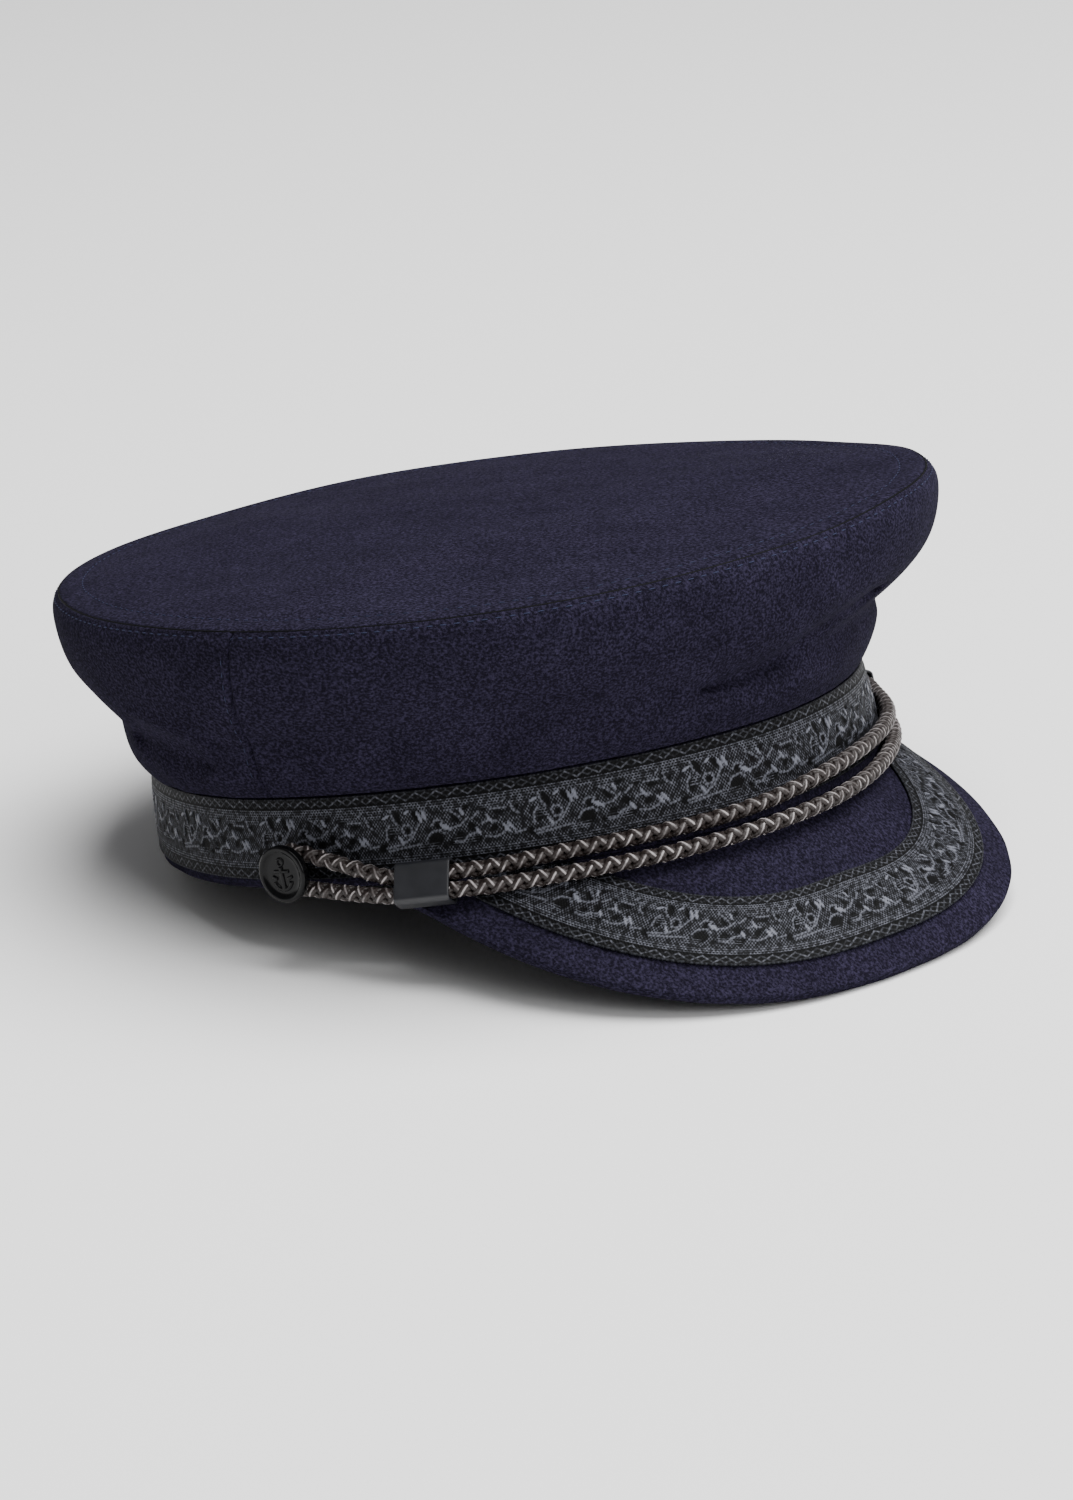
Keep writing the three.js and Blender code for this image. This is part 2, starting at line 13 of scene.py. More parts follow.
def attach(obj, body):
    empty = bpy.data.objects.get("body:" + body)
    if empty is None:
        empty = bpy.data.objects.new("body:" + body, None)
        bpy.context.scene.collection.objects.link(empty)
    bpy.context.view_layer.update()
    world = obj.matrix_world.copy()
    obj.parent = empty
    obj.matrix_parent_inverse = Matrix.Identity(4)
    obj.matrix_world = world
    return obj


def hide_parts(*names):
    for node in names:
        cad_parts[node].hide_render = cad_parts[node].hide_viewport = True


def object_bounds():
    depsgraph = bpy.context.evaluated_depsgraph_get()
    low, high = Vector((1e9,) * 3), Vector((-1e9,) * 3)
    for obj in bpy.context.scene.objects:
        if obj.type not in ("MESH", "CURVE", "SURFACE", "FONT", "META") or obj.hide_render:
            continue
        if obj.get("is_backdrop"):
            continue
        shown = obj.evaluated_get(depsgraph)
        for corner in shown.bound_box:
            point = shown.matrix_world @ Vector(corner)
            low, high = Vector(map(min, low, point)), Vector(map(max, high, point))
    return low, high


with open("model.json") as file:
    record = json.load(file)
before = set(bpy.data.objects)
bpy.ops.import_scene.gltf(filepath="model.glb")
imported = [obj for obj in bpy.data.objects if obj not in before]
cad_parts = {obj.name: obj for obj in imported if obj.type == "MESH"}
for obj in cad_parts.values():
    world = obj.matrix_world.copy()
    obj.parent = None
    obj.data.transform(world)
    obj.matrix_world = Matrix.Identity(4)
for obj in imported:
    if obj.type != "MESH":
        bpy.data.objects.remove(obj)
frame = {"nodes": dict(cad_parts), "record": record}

bl_info = {
    "name": "Breton Fisherman Cap",
    "version": (1, 0, 0),
    "blender": (4, 5, 0),
    "location": "View3D > Sidebar > Cap",
    "description": "Dresses a fisherman cap with wool cloth, woven braid, chin cord and buttons",
    "category": "Add Mesh",
}

# Shapes are worked out in the cap's own frame, with its rim level at z = 0, the middle of the
# head opening at the origin and the peak towards -Y, and are then tipped as the cap rests.
# Angles around the cap run from its front, positive on the wearer's left.

MM = 0.001
RIM_MOUNT = next(mount for mount in frame["record"]["mounts"] if mount["name"] == "rim_rest")

# Rise of the edge seam around the crown, as a share of the crown's rise
SEAM_WAVE = (
    (-180, 0), (-150, 0.01), (-126, 0.01), (-104, 0), (-80, 0), (-58, 0), (-30, 0), (0, 0.01),
    (28, 0.05), (54, 0.04), (80, 0), (106, -0.01), (132, 0), (156, 0.01),
)

# Folds in the crown's side: height and width in mm, then places as degrees from the front and
# height above the rim in mm
FOLDS = (
    (-2.2, 2.4, ((24, 45), (19.3, 44.1), (13.5, 42.9), (6.2, 40.2), (1.2, 36.8), (-5.2, 35.4),
                 (-12, 34.6))),
    (1.3, 6, ((48, 33), (34, 33), (20, 32.5), (6, 29), (-8, 27.5))),
    (0.8, 5, ((10, 50), (0, 46), (-12, 43))),
    (0.9, 2.6, ((-104, 44.6), (-100, 43.6), (-94.4, 41.4), (-90, 38.8), (-86, 36.3))),
    (-1.5, 4.2, ((-108, 36.5), (-102, 35), (-95, 32.8), (-88, 31.6))),
    (-0.8, 2.6, ((-66, 27), (-60, 31), (-57, 36))),
    (-0.7, 2.4, ((-48, 26.5), (-44, 30), (-38, 33))),
    (0.7, 4, ((-38, 52), (-26, 49), (-14, 51))),
    (-0.9, 3, ((96, 33), (88, 37), (78, 39), (70, 44))),
    (-0.9, 3, ((150, 30), (164, 34), (178, 35), (194, 32))),
    (0.8, 5, ((140, 41), (160, 44), (176, 42))),
)

# Keepers: degrees from the front, height above the rim in mm, lean in degrees
KEEPERS = {"right": (-55.3, 1.2, 32), "left": (71, 5.7, 3)}

# Side buttons: degrees from the front, height above the rim in mm
BUTTONS = {"right": (-76, 6.1), "left": (81, 6.1)}

# Chin cord between the keepers: degrees from the front, height above the rim and distance of
# its middle from the band, in mm
UPPER_STRAND = (
    (-45, 2.9, 4.6), (-38, 3.5, 3.9), (-30, 3.8, 3.7), (-21, 3.8, 3.6), (-12, 3.9, 3.6),
    (-4, 4.6, 3.6), (5, 5.8, 3.6), (15, 6.8, 3.6), (26, 7.2, 3.6), (38, 7.3, 3.6),
    (49, 7.4, 3.6), (59, 7.7, 3.8),
)
LOWER_STRAND = (
    (59, 3, 3.9), (49, 2.3, 3.7), (38, 1.9, 3.8), (26, 1.5, 4.6), (15, 0.9, 5.8),
    (5, 0.4, 6.8), (-4, -0.1, 6.9), (-12, -0.5, 7), (-21, -0.8, 7), (-30, -0.8, 7.1),
    (-38, -0.9, 7.2), (-45, -1, 7.5),
)

# One repeat of the braid's pattern, charted in mm: along it, and across it from the lower rib
# lines. Leaves are matte and sunk: place, half length, half width, turn in degrees.
LEAVES = (
    (7.2, 2.3, 2.1, 1.35, 8), (8.3, 5.6, 1.5, 0.9, -35), (0.2, 5.0, 0.8, 0.7, 0),
    (2.6, 8.3, 1.8, 0.65, -62), (-2.3, 8.5, 1.9, 0.75, -72), (-4.4, 4.6, 1.6, 0.7, 78),
    (-6.9, 1.3, 1.1, 1.0, 80), (-9.6, 7.2, 1.1, 0.45, 62), (-13.9, 6.9, 1.7, 0.5, 0),
    (-17.6, 8.0, 0.9, 0.45, 0), (12.6, 6.9, 1.5, 0.7, -50), (13.2, 2.6, 1.3, 0.8, 42),
    (16.6, 4.4, 1.3, 0.75, -10), (17.4, 1.1, 1.7, 0.6, 30), (-15.6, 3.3, 1.2, 0.6, 35),
    (10.8, 1.0, 1.0, 0.55, -30), (15.3, 8.9, 1.4, 0.5, 25),
)

# Long shiny floats, in the same numbers
FLOATS = (
    (-16.4, 5.6, 1.5, 0.4, -60), (-12.6, 3.0, 1.6, 0.45, -55), (-11.4, 3.3, 1.6, 0.45, -55),
    (-5.2, 8.6, 1.2, 0.4, 20), (-1.8, 2.9, 1.4, 0.45, -60), (3.6, 8.0, 1.6, 0.5, -70),
    (4.9, 8.3, 1.6, 0.5, -70), (9.3, 5.2, 1.3, 0.45, -50), (10.5, 4.8, 1.3, 0.45, -50),
    (14.5, 8.2, 1.2, 0.45, -65), (18.0, 3.0, 1.3, 0.45, -60), (0.5, 9.4, 1.0, 0.4, 30),
)

# Patches of level rib lines: place, half length, half width
TERRACES = (
    (14.5, 1.4, 3.2, 1.0), (-16.0, 9.2, 2.8, 0.9), (5.0, 0.7, 2.6, 0.8), (-8.6, 9.2, 2.2, 0.9),
    (12.6, 9.4, 2.4, 0.7), (-3.4, 5.4, 1.4, 1.2),
)

# Raised satin threads, laid as dots along chains of places
STEMS = (
    ((-6.0, 1.2), (-1.5, 1.9), (1.2, 3.4), (3.6, 6.6), (5.4, 9.6)),
    ((-5.4, 0.5), (-0.6, 1.1), (3.2, 1.5)),
    ((-10.5, 1.5), (-8.0, 1.9)),
    ((4.9, 2.6), (6.0, 4.0), (8.4, 4.4), (9.8, 3.2)),
    ((6.6, 5.8), (7.6, 7.0), (9.6, 6.4)),
    ((-1.3, 5.6), (-0.6, 6.4), (0.9, 6.2), (1.5, 5.0), (0.8, 3.9), (-0.7, 3.9), (-1.3, 5.6)),
    ((-5.7, 3.4), (-5.4, 5.6), (-4.2, 6.9)),
    ((-3.8, 9.9), (-3.4, 8.0), (-2.4, 6.6)),
    ((-10.9, 8.9), (-10.4, 7.0), (-8.8, 5.8)),
    ((-15.8, 7.9), (-12.2, 7.8)),
    ((11.0, 8.9), (12.2, 8.3), (14.3, 6.5)),
    ((11.4, 4.6), (13.6, 4.9), (15.6, 6.4)),
    ((12.0, 1.2), (13.8, 0.9), (15.4, 2.4), (18.4, 2.9)),
    ((16.9, 6.3), (18.6, 7.6)),
    ((-18.2, 4.9), (-16.6, 5.3), (-14.4, 4.8)),
    ((-17.9, 1.6), (-15.4, 1.2), (-13.2, 2.0), (-11.6, 3.9)),
    ((-12.6, 9.3), (-11.9, 9.9)),
)


def length(label, text, millimetres):
    """A size that the sidebar shows as a length."""
    return FloatProperty(
        name=label, description=text, default=millimetres * MM, unit="LENGTH", precision=5
    )


def share(label, text, value):
    """A plain number."""
    return FloatProperty(name=label, description=text, default=value, precision=3)


def turn(label, text, degrees):
    """An angle."""
    return FloatProperty(
        name=label, description=text, default=math.radians(degrees), subtype="ANGLE"
    )


def shade(label, text, code):
    """A colour, kept as its sRGB hex code."""
    return StringProperty(name=label, description=text, default=code, maxlen=7)


class CapSizes(bpy.types.PropertyGroup):
    """Sizes of the cap's cloth, braid and fittings"""

    head_length: length("Head length", "Inside length of the band", 201.5)
    head_width: length("Head width", "Inside width of the band", 171.5)
    head_squareness: share("Head squareness", "2 is an ellipse, more is squarer", 1.85)
    band_wall: length("Band wall", "Thickness of the band", 2.4)
    band_height: length("Band height", "Height of the band", 22.3)
    band_taper: length("Band taper", "How far the band leans in at its top", 2)
    crown_length: length("Crown length", "Length over the edge seam", 236)
    crown_width: length("Crown width", "Width over the edge seam", 200.5)
    crown_squareness: share("Crown squareness", "2 is an ellipse, more is squarer", 2.15)
    crown_fullness: share("Crown fullness", "How much wider the front is", 0.03)
    crown_forward: length("Crown forward", "How far the crown lies forward", 1.4)
    crown_sideways: length("Crown sideways", "How far the crown lies to the left", 3)
    crown_dip: turn("Crown dip", "How far the crown dips at the front", 1.4)
    crown_rise: length("Crown rise", "Height of the crown's side", 44.8)
    side_seam: turn("Side seam", "Angle of the two side seams from the front", 81)
    peak_half_angle: turn("Peak half angle", "Where the peak ends on the band", 63)
    peak_reach: length("Peak reach", "How far the peak stands forward", 34.9)
    peak_drop: length("Peak drop", "How far the peak's tip hangs", 35.8)
    peak_camber: length("Peak camber", "Rise of the middle of its width", 1)
    peak_roundness: share("Peak roundness", "1 is an ellipse, less is squarer", 0.84)
    root_evenness: share("Root evenness", "How evenly the peak spreads at the band", 0.3)
    gap: length("Gap", "Clearance between pieces", 0.3)


class TrimSizes(bpy.types.PropertyGroup):
    """Sizes of the braid, the chin cord and the fittings"""

    braid_width: length("Braid width", "Width of the woven braid", 19.5)
    braid_thickness: length("Braid thickness", "Thickness of the woven braid", 0.9)
    band_margin: length("Band margin", "Cloth below the braid on the band", 2.6)
    peak_margin: length("Peak margin", "Cloth outside the braid on the peak", 8.5)
    peak_end: length("Braid end", "Least width of the braid on the peak", 5)
    braid_repeat: length("Braid repeat", "Length of one repeat of the pattern", 37.5)
    braid_grain: length("Braid grain", "Spacing of the braid's vertices", 0.38)
    border_width: length("Border width", "Width of the braid's laced border", 2.7)
    rib_pitch: length("Rib pitch", "Spacing of the three rib lines", 0.62)
    cord_diameter: length("Cord diameter", "Diameter of the chin cord", 4.2)
    cord_lay: length("Cord lay", "Length of one turn of a strand", 8.4)
    keeper_length: length("Keeper length", "Length of a keeper", 14)
    keeper_wall: length("Keeper wall", "Wall of a keeper", 0.6)
    keeper_corner: length("Keeper corner", "Corner radius of a keeper", 1.6)
    mouth_run: length("Mouth run", "Straight cord beyond a keeper", 1.5)
    button_diameter: length("Button diameter", "Diameter of a button", 14)
    button_thickness: length("Button thickness", "Thickness of a button's head", 2.6)
    button_rim: length("Button rim", "Width of the raised rim", 1.1)
    shank_diameter: length("Shank diameter", "Diameter of a button's shank", 4)
    shank_slack: length("Shank slack", "Spare length of the shank", 0.6)
    anchor_height: length("Anchor height", "Height of the anchor", 8.4)
    anchor_bar: length("Anchor bar", "Width of the anchor's bars", 1.1)
    anchor_relief: length("Anchor relief", "How far the anchor is raised", 0.45)
    stitch_length: length("Stitch length", "Visible length of a stitch", 1.7)
    stitch_pitch: length("Stitch pitch", "Distance from stitch to stitch", 3.3)
    stitch_width: length("Stitch width", "Thickness of the sewing thread", 0.28)
    top_row: length("Top row", "Distance of the top's stitches from the edge seam", 6.7)
    side_row: length("Side row", "Distance of the side's stitches from the edge seam", 1.2)
    seam_row: length("Seam row", "Distance of the back's stitches from a side seam", 2.1)


class CapColours(bpy.types.PropertyGroup):
    """Colours of the cap, as sRGB hex codes"""

    wool: shade("Wool", "Navy wool cloth", "#0b0a0f")
    wool_light: shade("Wool fleck", "Lighter fibres in the cloth", "#332f43")
    wool_halo: shade("Wool halo", "Loose fibres seen against the light", "#a9abc8")
    thread: shade("Thread", "Sewing thread", "#30344d")
    # Seam shadow: near black, a painted shadow for the groove of the edge seam, on the thin tube laid
    # in it
    thread_sunk: shade("Sunk thread", "Sewing thread deep in a seam", "#040406")
    braid: shade("Braid", "Ground of the braid", "#08080a")
    braid_leaf: shade("Braid leaf", "Matte figures of the braid", "#040405")
    # The satin threads' pale grey is partly painted highlight: the figure places them, and their
    # brightness stands for the rayon's glints
    braid_satin: shade("Braid satin", "Shiny threads of the braid", "#6b6d77")
    cord: shade("Cord", "Dark yarn of the cord", "#241c1a")
    # The cord's pale strokes are painted highlight along the crest of each strand of the shiny yarn
    cord_light: shade("Cord light", "Light yarn of the cord", "#a7a1a1")
    keeper: shade("Keeper", "Keeper", "#191a1f")
    button: shade("Button", "Button", "#060607")
    floor: shade("Floor", "Studio floor", "#f7f7f7")


def settings():
    """The three groups of settings: the cap's sizes, its trim's sizes and its colours."""
    scene = bpy.context.scene
    return scene.cap_sizes, scene.trim_sizes, scene.cap_colours


# Shapes of the cap

def cap_frame():
    """Turn and origin of the cap's own frame, from the resting place of its rim."""
    cap, _, _ = settings()
    down = Vector(RIM_MOUNT["axis"])
    tip = Matrix.Rotation(-math.atan2(-down.y, -down.z), 4, "X")
    rim_point = Vector((0, (cap.head_length + cap.band_wall) / 2, 0))
    return Matrix.Translation(Vector(RIM_MOUNT["pos_m"]) - tip @ rim_point) @ tip


def placed(points):
    """Points of the cap's own frame as the cap rests."""
    matrix = np.array(cap_frame())
    return np.asarray(points) @ matrix[:3, :3].T + matrix[:3, 3]


def in_cap(points):
    """Points of the resting cap in its own frame."""
    matrix = np.array(cap_frame())
    return (np.asarray(points) - matrix[:3, 3]) @ matrix[:3, :3]


def oval(half_length, half_width, squareness, angle):
    """Points of a rounded oval at angles from the front."""
    c, s = np.cos(angle), np.sin(angle)
    f = (np.abs(c) ** squareness + np.abs(s) ** squareness) ** (-1 / squareness)
    return np.stack([half_width * s * f, -half_length * c * f, 0 * f], axis=-1)


def band_halves():
    """Half the length and half the width of the band's outside at the rim."""
    cap, _, _ = settings()
    return cap.head_length / 2 + cap.band_wall, cap.head_width / 2 + cap.band_wall


def band_point(angle, height):
    """The band's outside, which leans in towards its top."""
    cap, _, _ = settings()
    half_length, half_width = band_halves()
    inset = cap.band_taper * height / cap.band_height
    point = oval(half_length - inset, half_width - inset, cap.head_squareness, angle)
    point[..., 2] = height
    return point


def unit(vectors):
    """The same directions with a length of one."""
    return vectors / np.linalg.norm(vectors, axis=-1, keepdims=True)


def outward(angle):
    """Level directions square to the band's outside."""
    step = 0.01
    along = band_point(angle + step, 0) - band_point(angle - step, 0)
    return unit(np.stack([along[..., 1], -along[..., 0], 0 * along[..., 0]], axis=-1))


def leftward(out):
    """Level directions around the cap towards the wearer's left, from the outward ones."""
    return np.stack([-out[..., 1], out[..., 0], 0 * out[..., 0]], axis=-1)


def beside(angle, stand_off, height):
    """Places at a distance from the band's outside."""
    return band_point(angle, height) + outward(angle) * np.asarray(stand_off)[..., None]


def seam_wave(angle):
    """Rise of the edge seam, eased from row to row of its table."""
    rows = np.array(SEAM_WAVE, float)
    ends = np.vstack([rows, [rows[0, 0] + 360, rows[0, 1]]])
    degrees = (np.degrees(angle) + 180) % 360 - 180
    k = np.clip(np.searchsorted(ends[:, 0], degrees, side="right") - 1, 0, len(rows) - 1)
    part = (degrees - ends[k, 0]) / (ends[k + 1, 0] - ends[k, 0])
    ease = (1 - np.cos(np.pi * part)) / 2
    return ends[k, 1] * (1 - ease) + ends[k + 1, 1] * ease


def seam_point(angle):
    """The edge seam that joins the oval top to the sides."""
    cap, _, _ = settings()
    point = oval(cap.crown_length / 2, cap.crown_width / 2, cap.crown_squareness, angle)
    point[..., 0] *= 1 - cap.crown_fullness * point[..., 1] / (cap.crown_length / 2)
    level = cap.band_height + cap.gap + cap.crown_rise * (1 + seam_wave(angle))
    point[..., 2] = level + point[..., 1] * math.tan(cap.crown_dip)
    return point + np.array([cap.crown_sideways, -cap.crown_forward, 0])


def peak_point(turns, shares):
    """The peak's upper face: turns run from -90 degrees at its right corner to 90 at its left
    one, and shares from 0 at the band to 1 at the free edge."""
    cap, _, _ = settings()
    half_length, _ = band_halves()
    along = turns / (math.pi / 2)
    spread = along * (cap.root_evenness + (1 - cap.root_evenness) * along ** 2)
    root = beside(cap.peak_half_angle * spread, cap.gap, 0)
    corner = beside(cap.peak_half_angle, cap.gap, 0)
    c = np.abs(np.cos(turns)) ** cap.peak_roundness
    s = np.sign(turns) * np.abs(np.sin(turns)) ** cap.peak_roundness
    reach = half_length + cap.peak_reach + corner[1]
    edge = np.stack([corner[0] * s, corner[1] - reach * c, -cap.peak_drop * c], axis=-1)
    camber = cap.peak_camber * c * np.sin(np.pi * shares)
    lift = np.stack([0 * camber, -camber / 2, camber], axis=-1)
    return root + (edge - root) * shares[..., None] + lift


def fitting_matrix(angle, stand_off, height, lean):
    """Placement of a fitting on the band: X along it, Y up, Z outwards, leaning back."""
    turned = np.radians(angle)
    out = Vector(outward(turned))
    along = Vector(leftward(np.array(out)))
    axes = Matrix((along, Vector((0, 0, 1)), out)).transposed().to_4x4()
    place = Matrix.Translation(Vector(beside(turned, stand_off, height)))
    return place @ axes @ Matrix.Rotation(-math.radians(lean), 4, "X")


def keeper_sizes():
    """Spacing of the two strands in a keeper, and its inner height and depth."""
    cap, trim, _ = settings()
    spacing = trim.cord_diameter + cap.gap
    return spacing, spacing + trim.cord_diameter + 2 * cap.gap, trim.cord_diameter + 2 * cap.gap


def keeper_matrix(side):
    """Placement of a keeper, standing clear of the braid at its upper back edge."""
    cap, trim, _ = settings()
    angle, height, lean = KEEPERS[side]
    _, inner_height, inner_depth = keeper_sizes()
    slope = math.radians(lean)
    tall, deep = inner_height + 2 * trim.keeper_wall, inner_depth + 2 * trim.keeper_wall
    back = (tall * math.sin(slope) + deep * math.cos(slope)) / 2
    return fitting_matrix(angle, trim.braid_thickness + 2 * cap.gap + back, height * MM, lean)


def shank_length():
    """Length of a button's shank, with room for the cord and the slack of its sewing."""
    cap, trim, _ = settings()
    return trim.cord_diameter + 2 * cap.gap + trim.shank_slack


def button_matrix(side):
    """Placement of a side button, Z outwards from the foot of its shank."""
    cap, trim, _ = settings()
    angle, height = BUTTONS[side]
    return fitting_matrix(angle, trim.braid_thickness + 2 * cap.gap, height * MM, 0)


# The chin cord's route

def strand_in_keeper(side, row):
    """Points of the cord inside a keeper, in line with its bore."""
    _, trim, _ = settings()
    spacing, _, _ = keeper_sizes()
    reach = trim.keeper_length / 2 + trim.mouth_run
    matrix = keeper_matrix(side)
    return [matrix @ Vector((x, row * spacing / 2, 0)) for x in np.linspace(-reach, reach, 4)]


def turn_round_shank(side):
    """Points of the cord round the back of a shank, from above it to below it."""
    cap, trim, _ = settings()
    backwards = 1 if side == "left" else -1
    radius = trim.shank_diameter / 2 + cap.gap + trim.cord_diameter / 2
    matrix = button_matrix(side)
    return [
        matrix @ Vector((backwards * radius * math.cos(a), radius * math.sin(a), shank_length() / 2))
        for a in np.linspace(math.pi / 2, -math.pi / 2, 7)
    ]


def strand(rows):
    """Points of the cord between the keepers."""
    table = np.array(rows, float)
    return list(beside(np.radians(table[:, 0]), table[:, 2] * MM, table[:, 1] * MM))


def cord_route():
    """Closed route of the chin cord: along the upper strand, round the left shank, back along
    the lower strand and round the right shank."""
    points = (
        strand_in_keeper("right", 1) + strand(UPPER_STRAND) + strand_in_keeper("left", 1)
        + turn_round_shank("left") + strand_in_keeper("left", -1)[::-1] + strand(LOWER_STRAND)
        + strand_in_keeper("right", -1)[::-1] + turn_round_shank("right")[::-1]
    )
    return np.array([tuple(point) for point in points])


def closed_curve(points, steps):
    """Centripetal Catmull-Rom curve through a closed ring of points."""
    before, after, beyond = (np.roll(points, shift, axis=0) for shift in (1, -1, -2))
    first, middle, last = (
        np.sqrt(np.linalg.norm(b - a, axis=1))[:, None]
        for a, b in ((before, points), (points, after), (after, beyond))
    )
    ahead = (after - points) / middle
    leave = (points - before) / first - (after - before) / (first + middle) + ahead
    arrive = ahead - (beyond - points) / (middle + last) + (beyond - after) / last
    leave, arrive = leave * middle, arrive * middle
    t = (np.arange(steps) / steps)[None, :, None]
    start, end, out, into = (v[:, None, :] for v in (points, after, leave, arrive))
    curve = (
        (2 * t ** 3 - 3 * t ** 2 + 1) * start + (t ** 3 - 2 * t ** 2 + t) * out
        + (3 * t ** 2 - 2 * t ** 3) * end + (t ** 3 - t ** 2) * into
    )
    return curve.reshape(-1, 3)


def lengths_along(line):
    """Length of a line of points from its start to each of them."""
    return np.concatenate([[0], np.cumsum(np.linalg.norm(np.diff(line, axis=0), axis=1))])


def points_at(lengths, run, line):
    """Points of a line at some lengths from its start."""
    return np.stack([np.interp(lengths, run, line[:, k]) for k in range(3)], axis=1)


def evenly_spaced(ring, spacing):
    """Points at even distances along a closed ring, and the ring's length."""
    closed = np.vstack([ring, ring[:1]])
    run = lengths_along(closed)
    count = max(3, round(run[-1] / spacing))
    return points_at(np.arange(count) * run[-1] / count, run, closed), run[-1]


def steps_round(ring):
    """Direction and distance from the point before to the point after, round a closed ring."""
    return np.roll(ring, -1, axis=0) - np.roll(ring, 1, axis=0)


# Making and finishing meshes

def only(piece):
    """Selects one piece alone."""
    bpy.ops.object.select_all(action="DESELECT")
    piece.select_set(True)
    bpy.context.view_layer.objects.active = piece
    return piece


def joined(piece, others):
    """Makes several pieces one."""
    only(piece)
    for other in others:
        other.select_set(True)
    bpy.ops.object.join()
    return piece


def edit(piece, mode="FACE"):
    """Opens one piece in edit mode with nothing selected."""
    if bpy.context.mode != "OBJECT":
        bpy.ops.object.mode_set(mode="OBJECT")
    only(piece)
    bpy.ops.object.mode_set(mode="EDIT")
    bpy.ops.mesh.select_mode(type=mode)
    bpy.ops.mesh.select_all(action="DESELECT")
    return bmesh.from_edit_mesh(piece.data)


def modified(piece, kind, **values):
    """Adds one modifier and applies it."""
    only(piece)
    modifier = piece.modifiers.new(kind.title(), kind)
    for name, value in values.items():
        setattr(modifier, name, value)
    bpy.ops.object.modifier_apply(modifier=modifier.name)
    return piece


def in_scene(name, data):
    """A new object in the scene, at the origin."""
    made = bpy.data.objects.new(name, data)
    bpy.context.scene.collection.objects.link(made)
    return made


def mesh_piece(name, points, faces, edges=()):
    """A new object from points and faces, or from points and edges."""
    mesh = bpy.data.meshes.new(name)
    mesh.from_pydata(np.asarray(points).tolist(), edges, faces)
    return in_scene(name, mesh)


def added(name):
    """The primitive that was just added, under its own name."""
    piece = bpy.context.active_object
    piece.name = name
    piece.data.name = name
    return piece


def vertex_places(piece):
    """Where the vertices of a piece are, in rows of three."""
    places = np.empty(len(piece.data.vertices) * 3, np.float32)
    piece.data.vertices.foreach_get("co", places)
    return places.reshape(-1, 3).astype(float)


def moved_to(piece, places):
    """Moves the vertices of a piece to new places."""
    piece.data.vertices.foreach_set("co", np.asarray(places, np.float32).ravel())
    piece.data.update()
    return piece


def point_attribute(piece, name, values):
    """Writes one value for each vertex, which a material can read."""
    attribute = piece.data.attributes.new(name, "FLOAT", "POINT")
    attribute.data.foreach_set("value", np.asarray(values, np.float32).ravel())


def surface_map(piece, along, across):
    """Writes the piece's UV map from two values for each vertex, in metres."""
    loops = np.empty(len(piece.data.loops), np.int32)
    piece.data.loops.foreach_get("vertex_index", loops)
    values = np.stack([np.asarray(along).ravel()[loops], np.asarray(across).ravel()[loops]], axis=1)
    layer = piece.data.uv_layers.new(name="UVMap")
    layer.uv.foreach_set("vector", values.astype(np.float32).ravel())


def dressed(piece, material, slot, *nodes):
    """Gives a finished piece its material, and its place and part in the cap."""
    piece.data.materials.clear()
    piece.data.materials.append(material)
    piece.data.polygons.foreach_set("use_smooth", [True] * len(piece.data.polygons))
    piece.data.update()
    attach(piece, "root")
    if nodes:
        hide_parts(*nodes)
    return piece


def block(name, size):
    """A cube stretched to a length, a width and a height."""
    bpy.ops.object.select_all(action="DESELECT")
    bpy.ops.mesh.primitive_cube_add(size=1)
    piece = added(name)
    return moved_to(piece, vertex_places(piece) * np.array(size))


def faces_outwards(piece):
    """Turns the faces of closed shells outwards."""
    edit(piece)
    bpy.ops.mesh.select_all(action="SELECT")
    bpy.ops.mesh.normals_make_consistent(inside=False)
    bpy.ops.object.mode_set(mode="OBJECT")
    return piece


def tube_faces(count, sides):
    """Faces of a tube that closes on itself, from rings of vertices in order."""
    i, j = np.arange(count)[:, None], np.arange(sides)[None, :]
    beyond, beside_it = (i + 1) % count, (j + 1) % sides
    quad = [i * sides + j, i * sides + beside_it, beyond * sides + beside_it, beyond * sides + j]
    return np.stack(np.broadcast_arrays(*quad), axis=-1).reshape(-1, 4)


def ripples(places, rows):
    """Sum of smooth noises, given as height and size in mm and a seed."""
    total = 0
    for height, size, seed in rows:
        shift = Vector((17.3, 5.1, 9.7)) * seed
        waves = [noise.noise(Vector(place) / (size * MM) + shift) for place in places]
        total = total + height * MM * np.array(waves)
    return total


def bell(distance, width):
    """1 where the distance is 0, falling smoothly to a third at the width."""
    return np.exp(-(np.asarray(distance) / width) ** 2)


def distance_to(points, places):
    """Distance from each place to the nearest of the points."""
    tree = KDTree(len(points))
    for index, point in enumerate(points):
        tree.insert(point, index)
    tree.balance()
    return np.array([tree.find(place)[2] for place in places])


def grid_normals(grid, closed):
    """Directions square to a grid of places, grid[column, row]."""
    along = steps_round(grid) if closed else np.gradient(grid, axis=0)
    return unit(np.cross(along, np.gradient(grid, axis=1)))


def around_cap(places):
    """Angle from the front of places in the cap's own frame."""
    half_length, half_width = band_halves()
    return np.arctan2(places[:, 0] / half_width, -places[:, 1] / half_length)


# Cloth

# Relief beside a sewn seam: depth of the groove, rise of the cloth over the turned-in edges,
# depth of the channel under the stitches, and half the width of groove and channel
SEAM_GROOVE = 0.75 * MM
SEAM_RISE = 0.2 * MM
STITCH_CHANNEL = 0.22 * MM
CHANNEL_WIDTH = 0.5 * MM

# How much deeper a side seam is drawn, how far each panel runs past the middle of its gap, and
# how far from the seam the cloth is pulled towards it
SIDE_SEAM_DEPTH = 1.2
SEAM_OVERLAP = 0.06 * MM
SEAM_PULL = 0.9 * MM

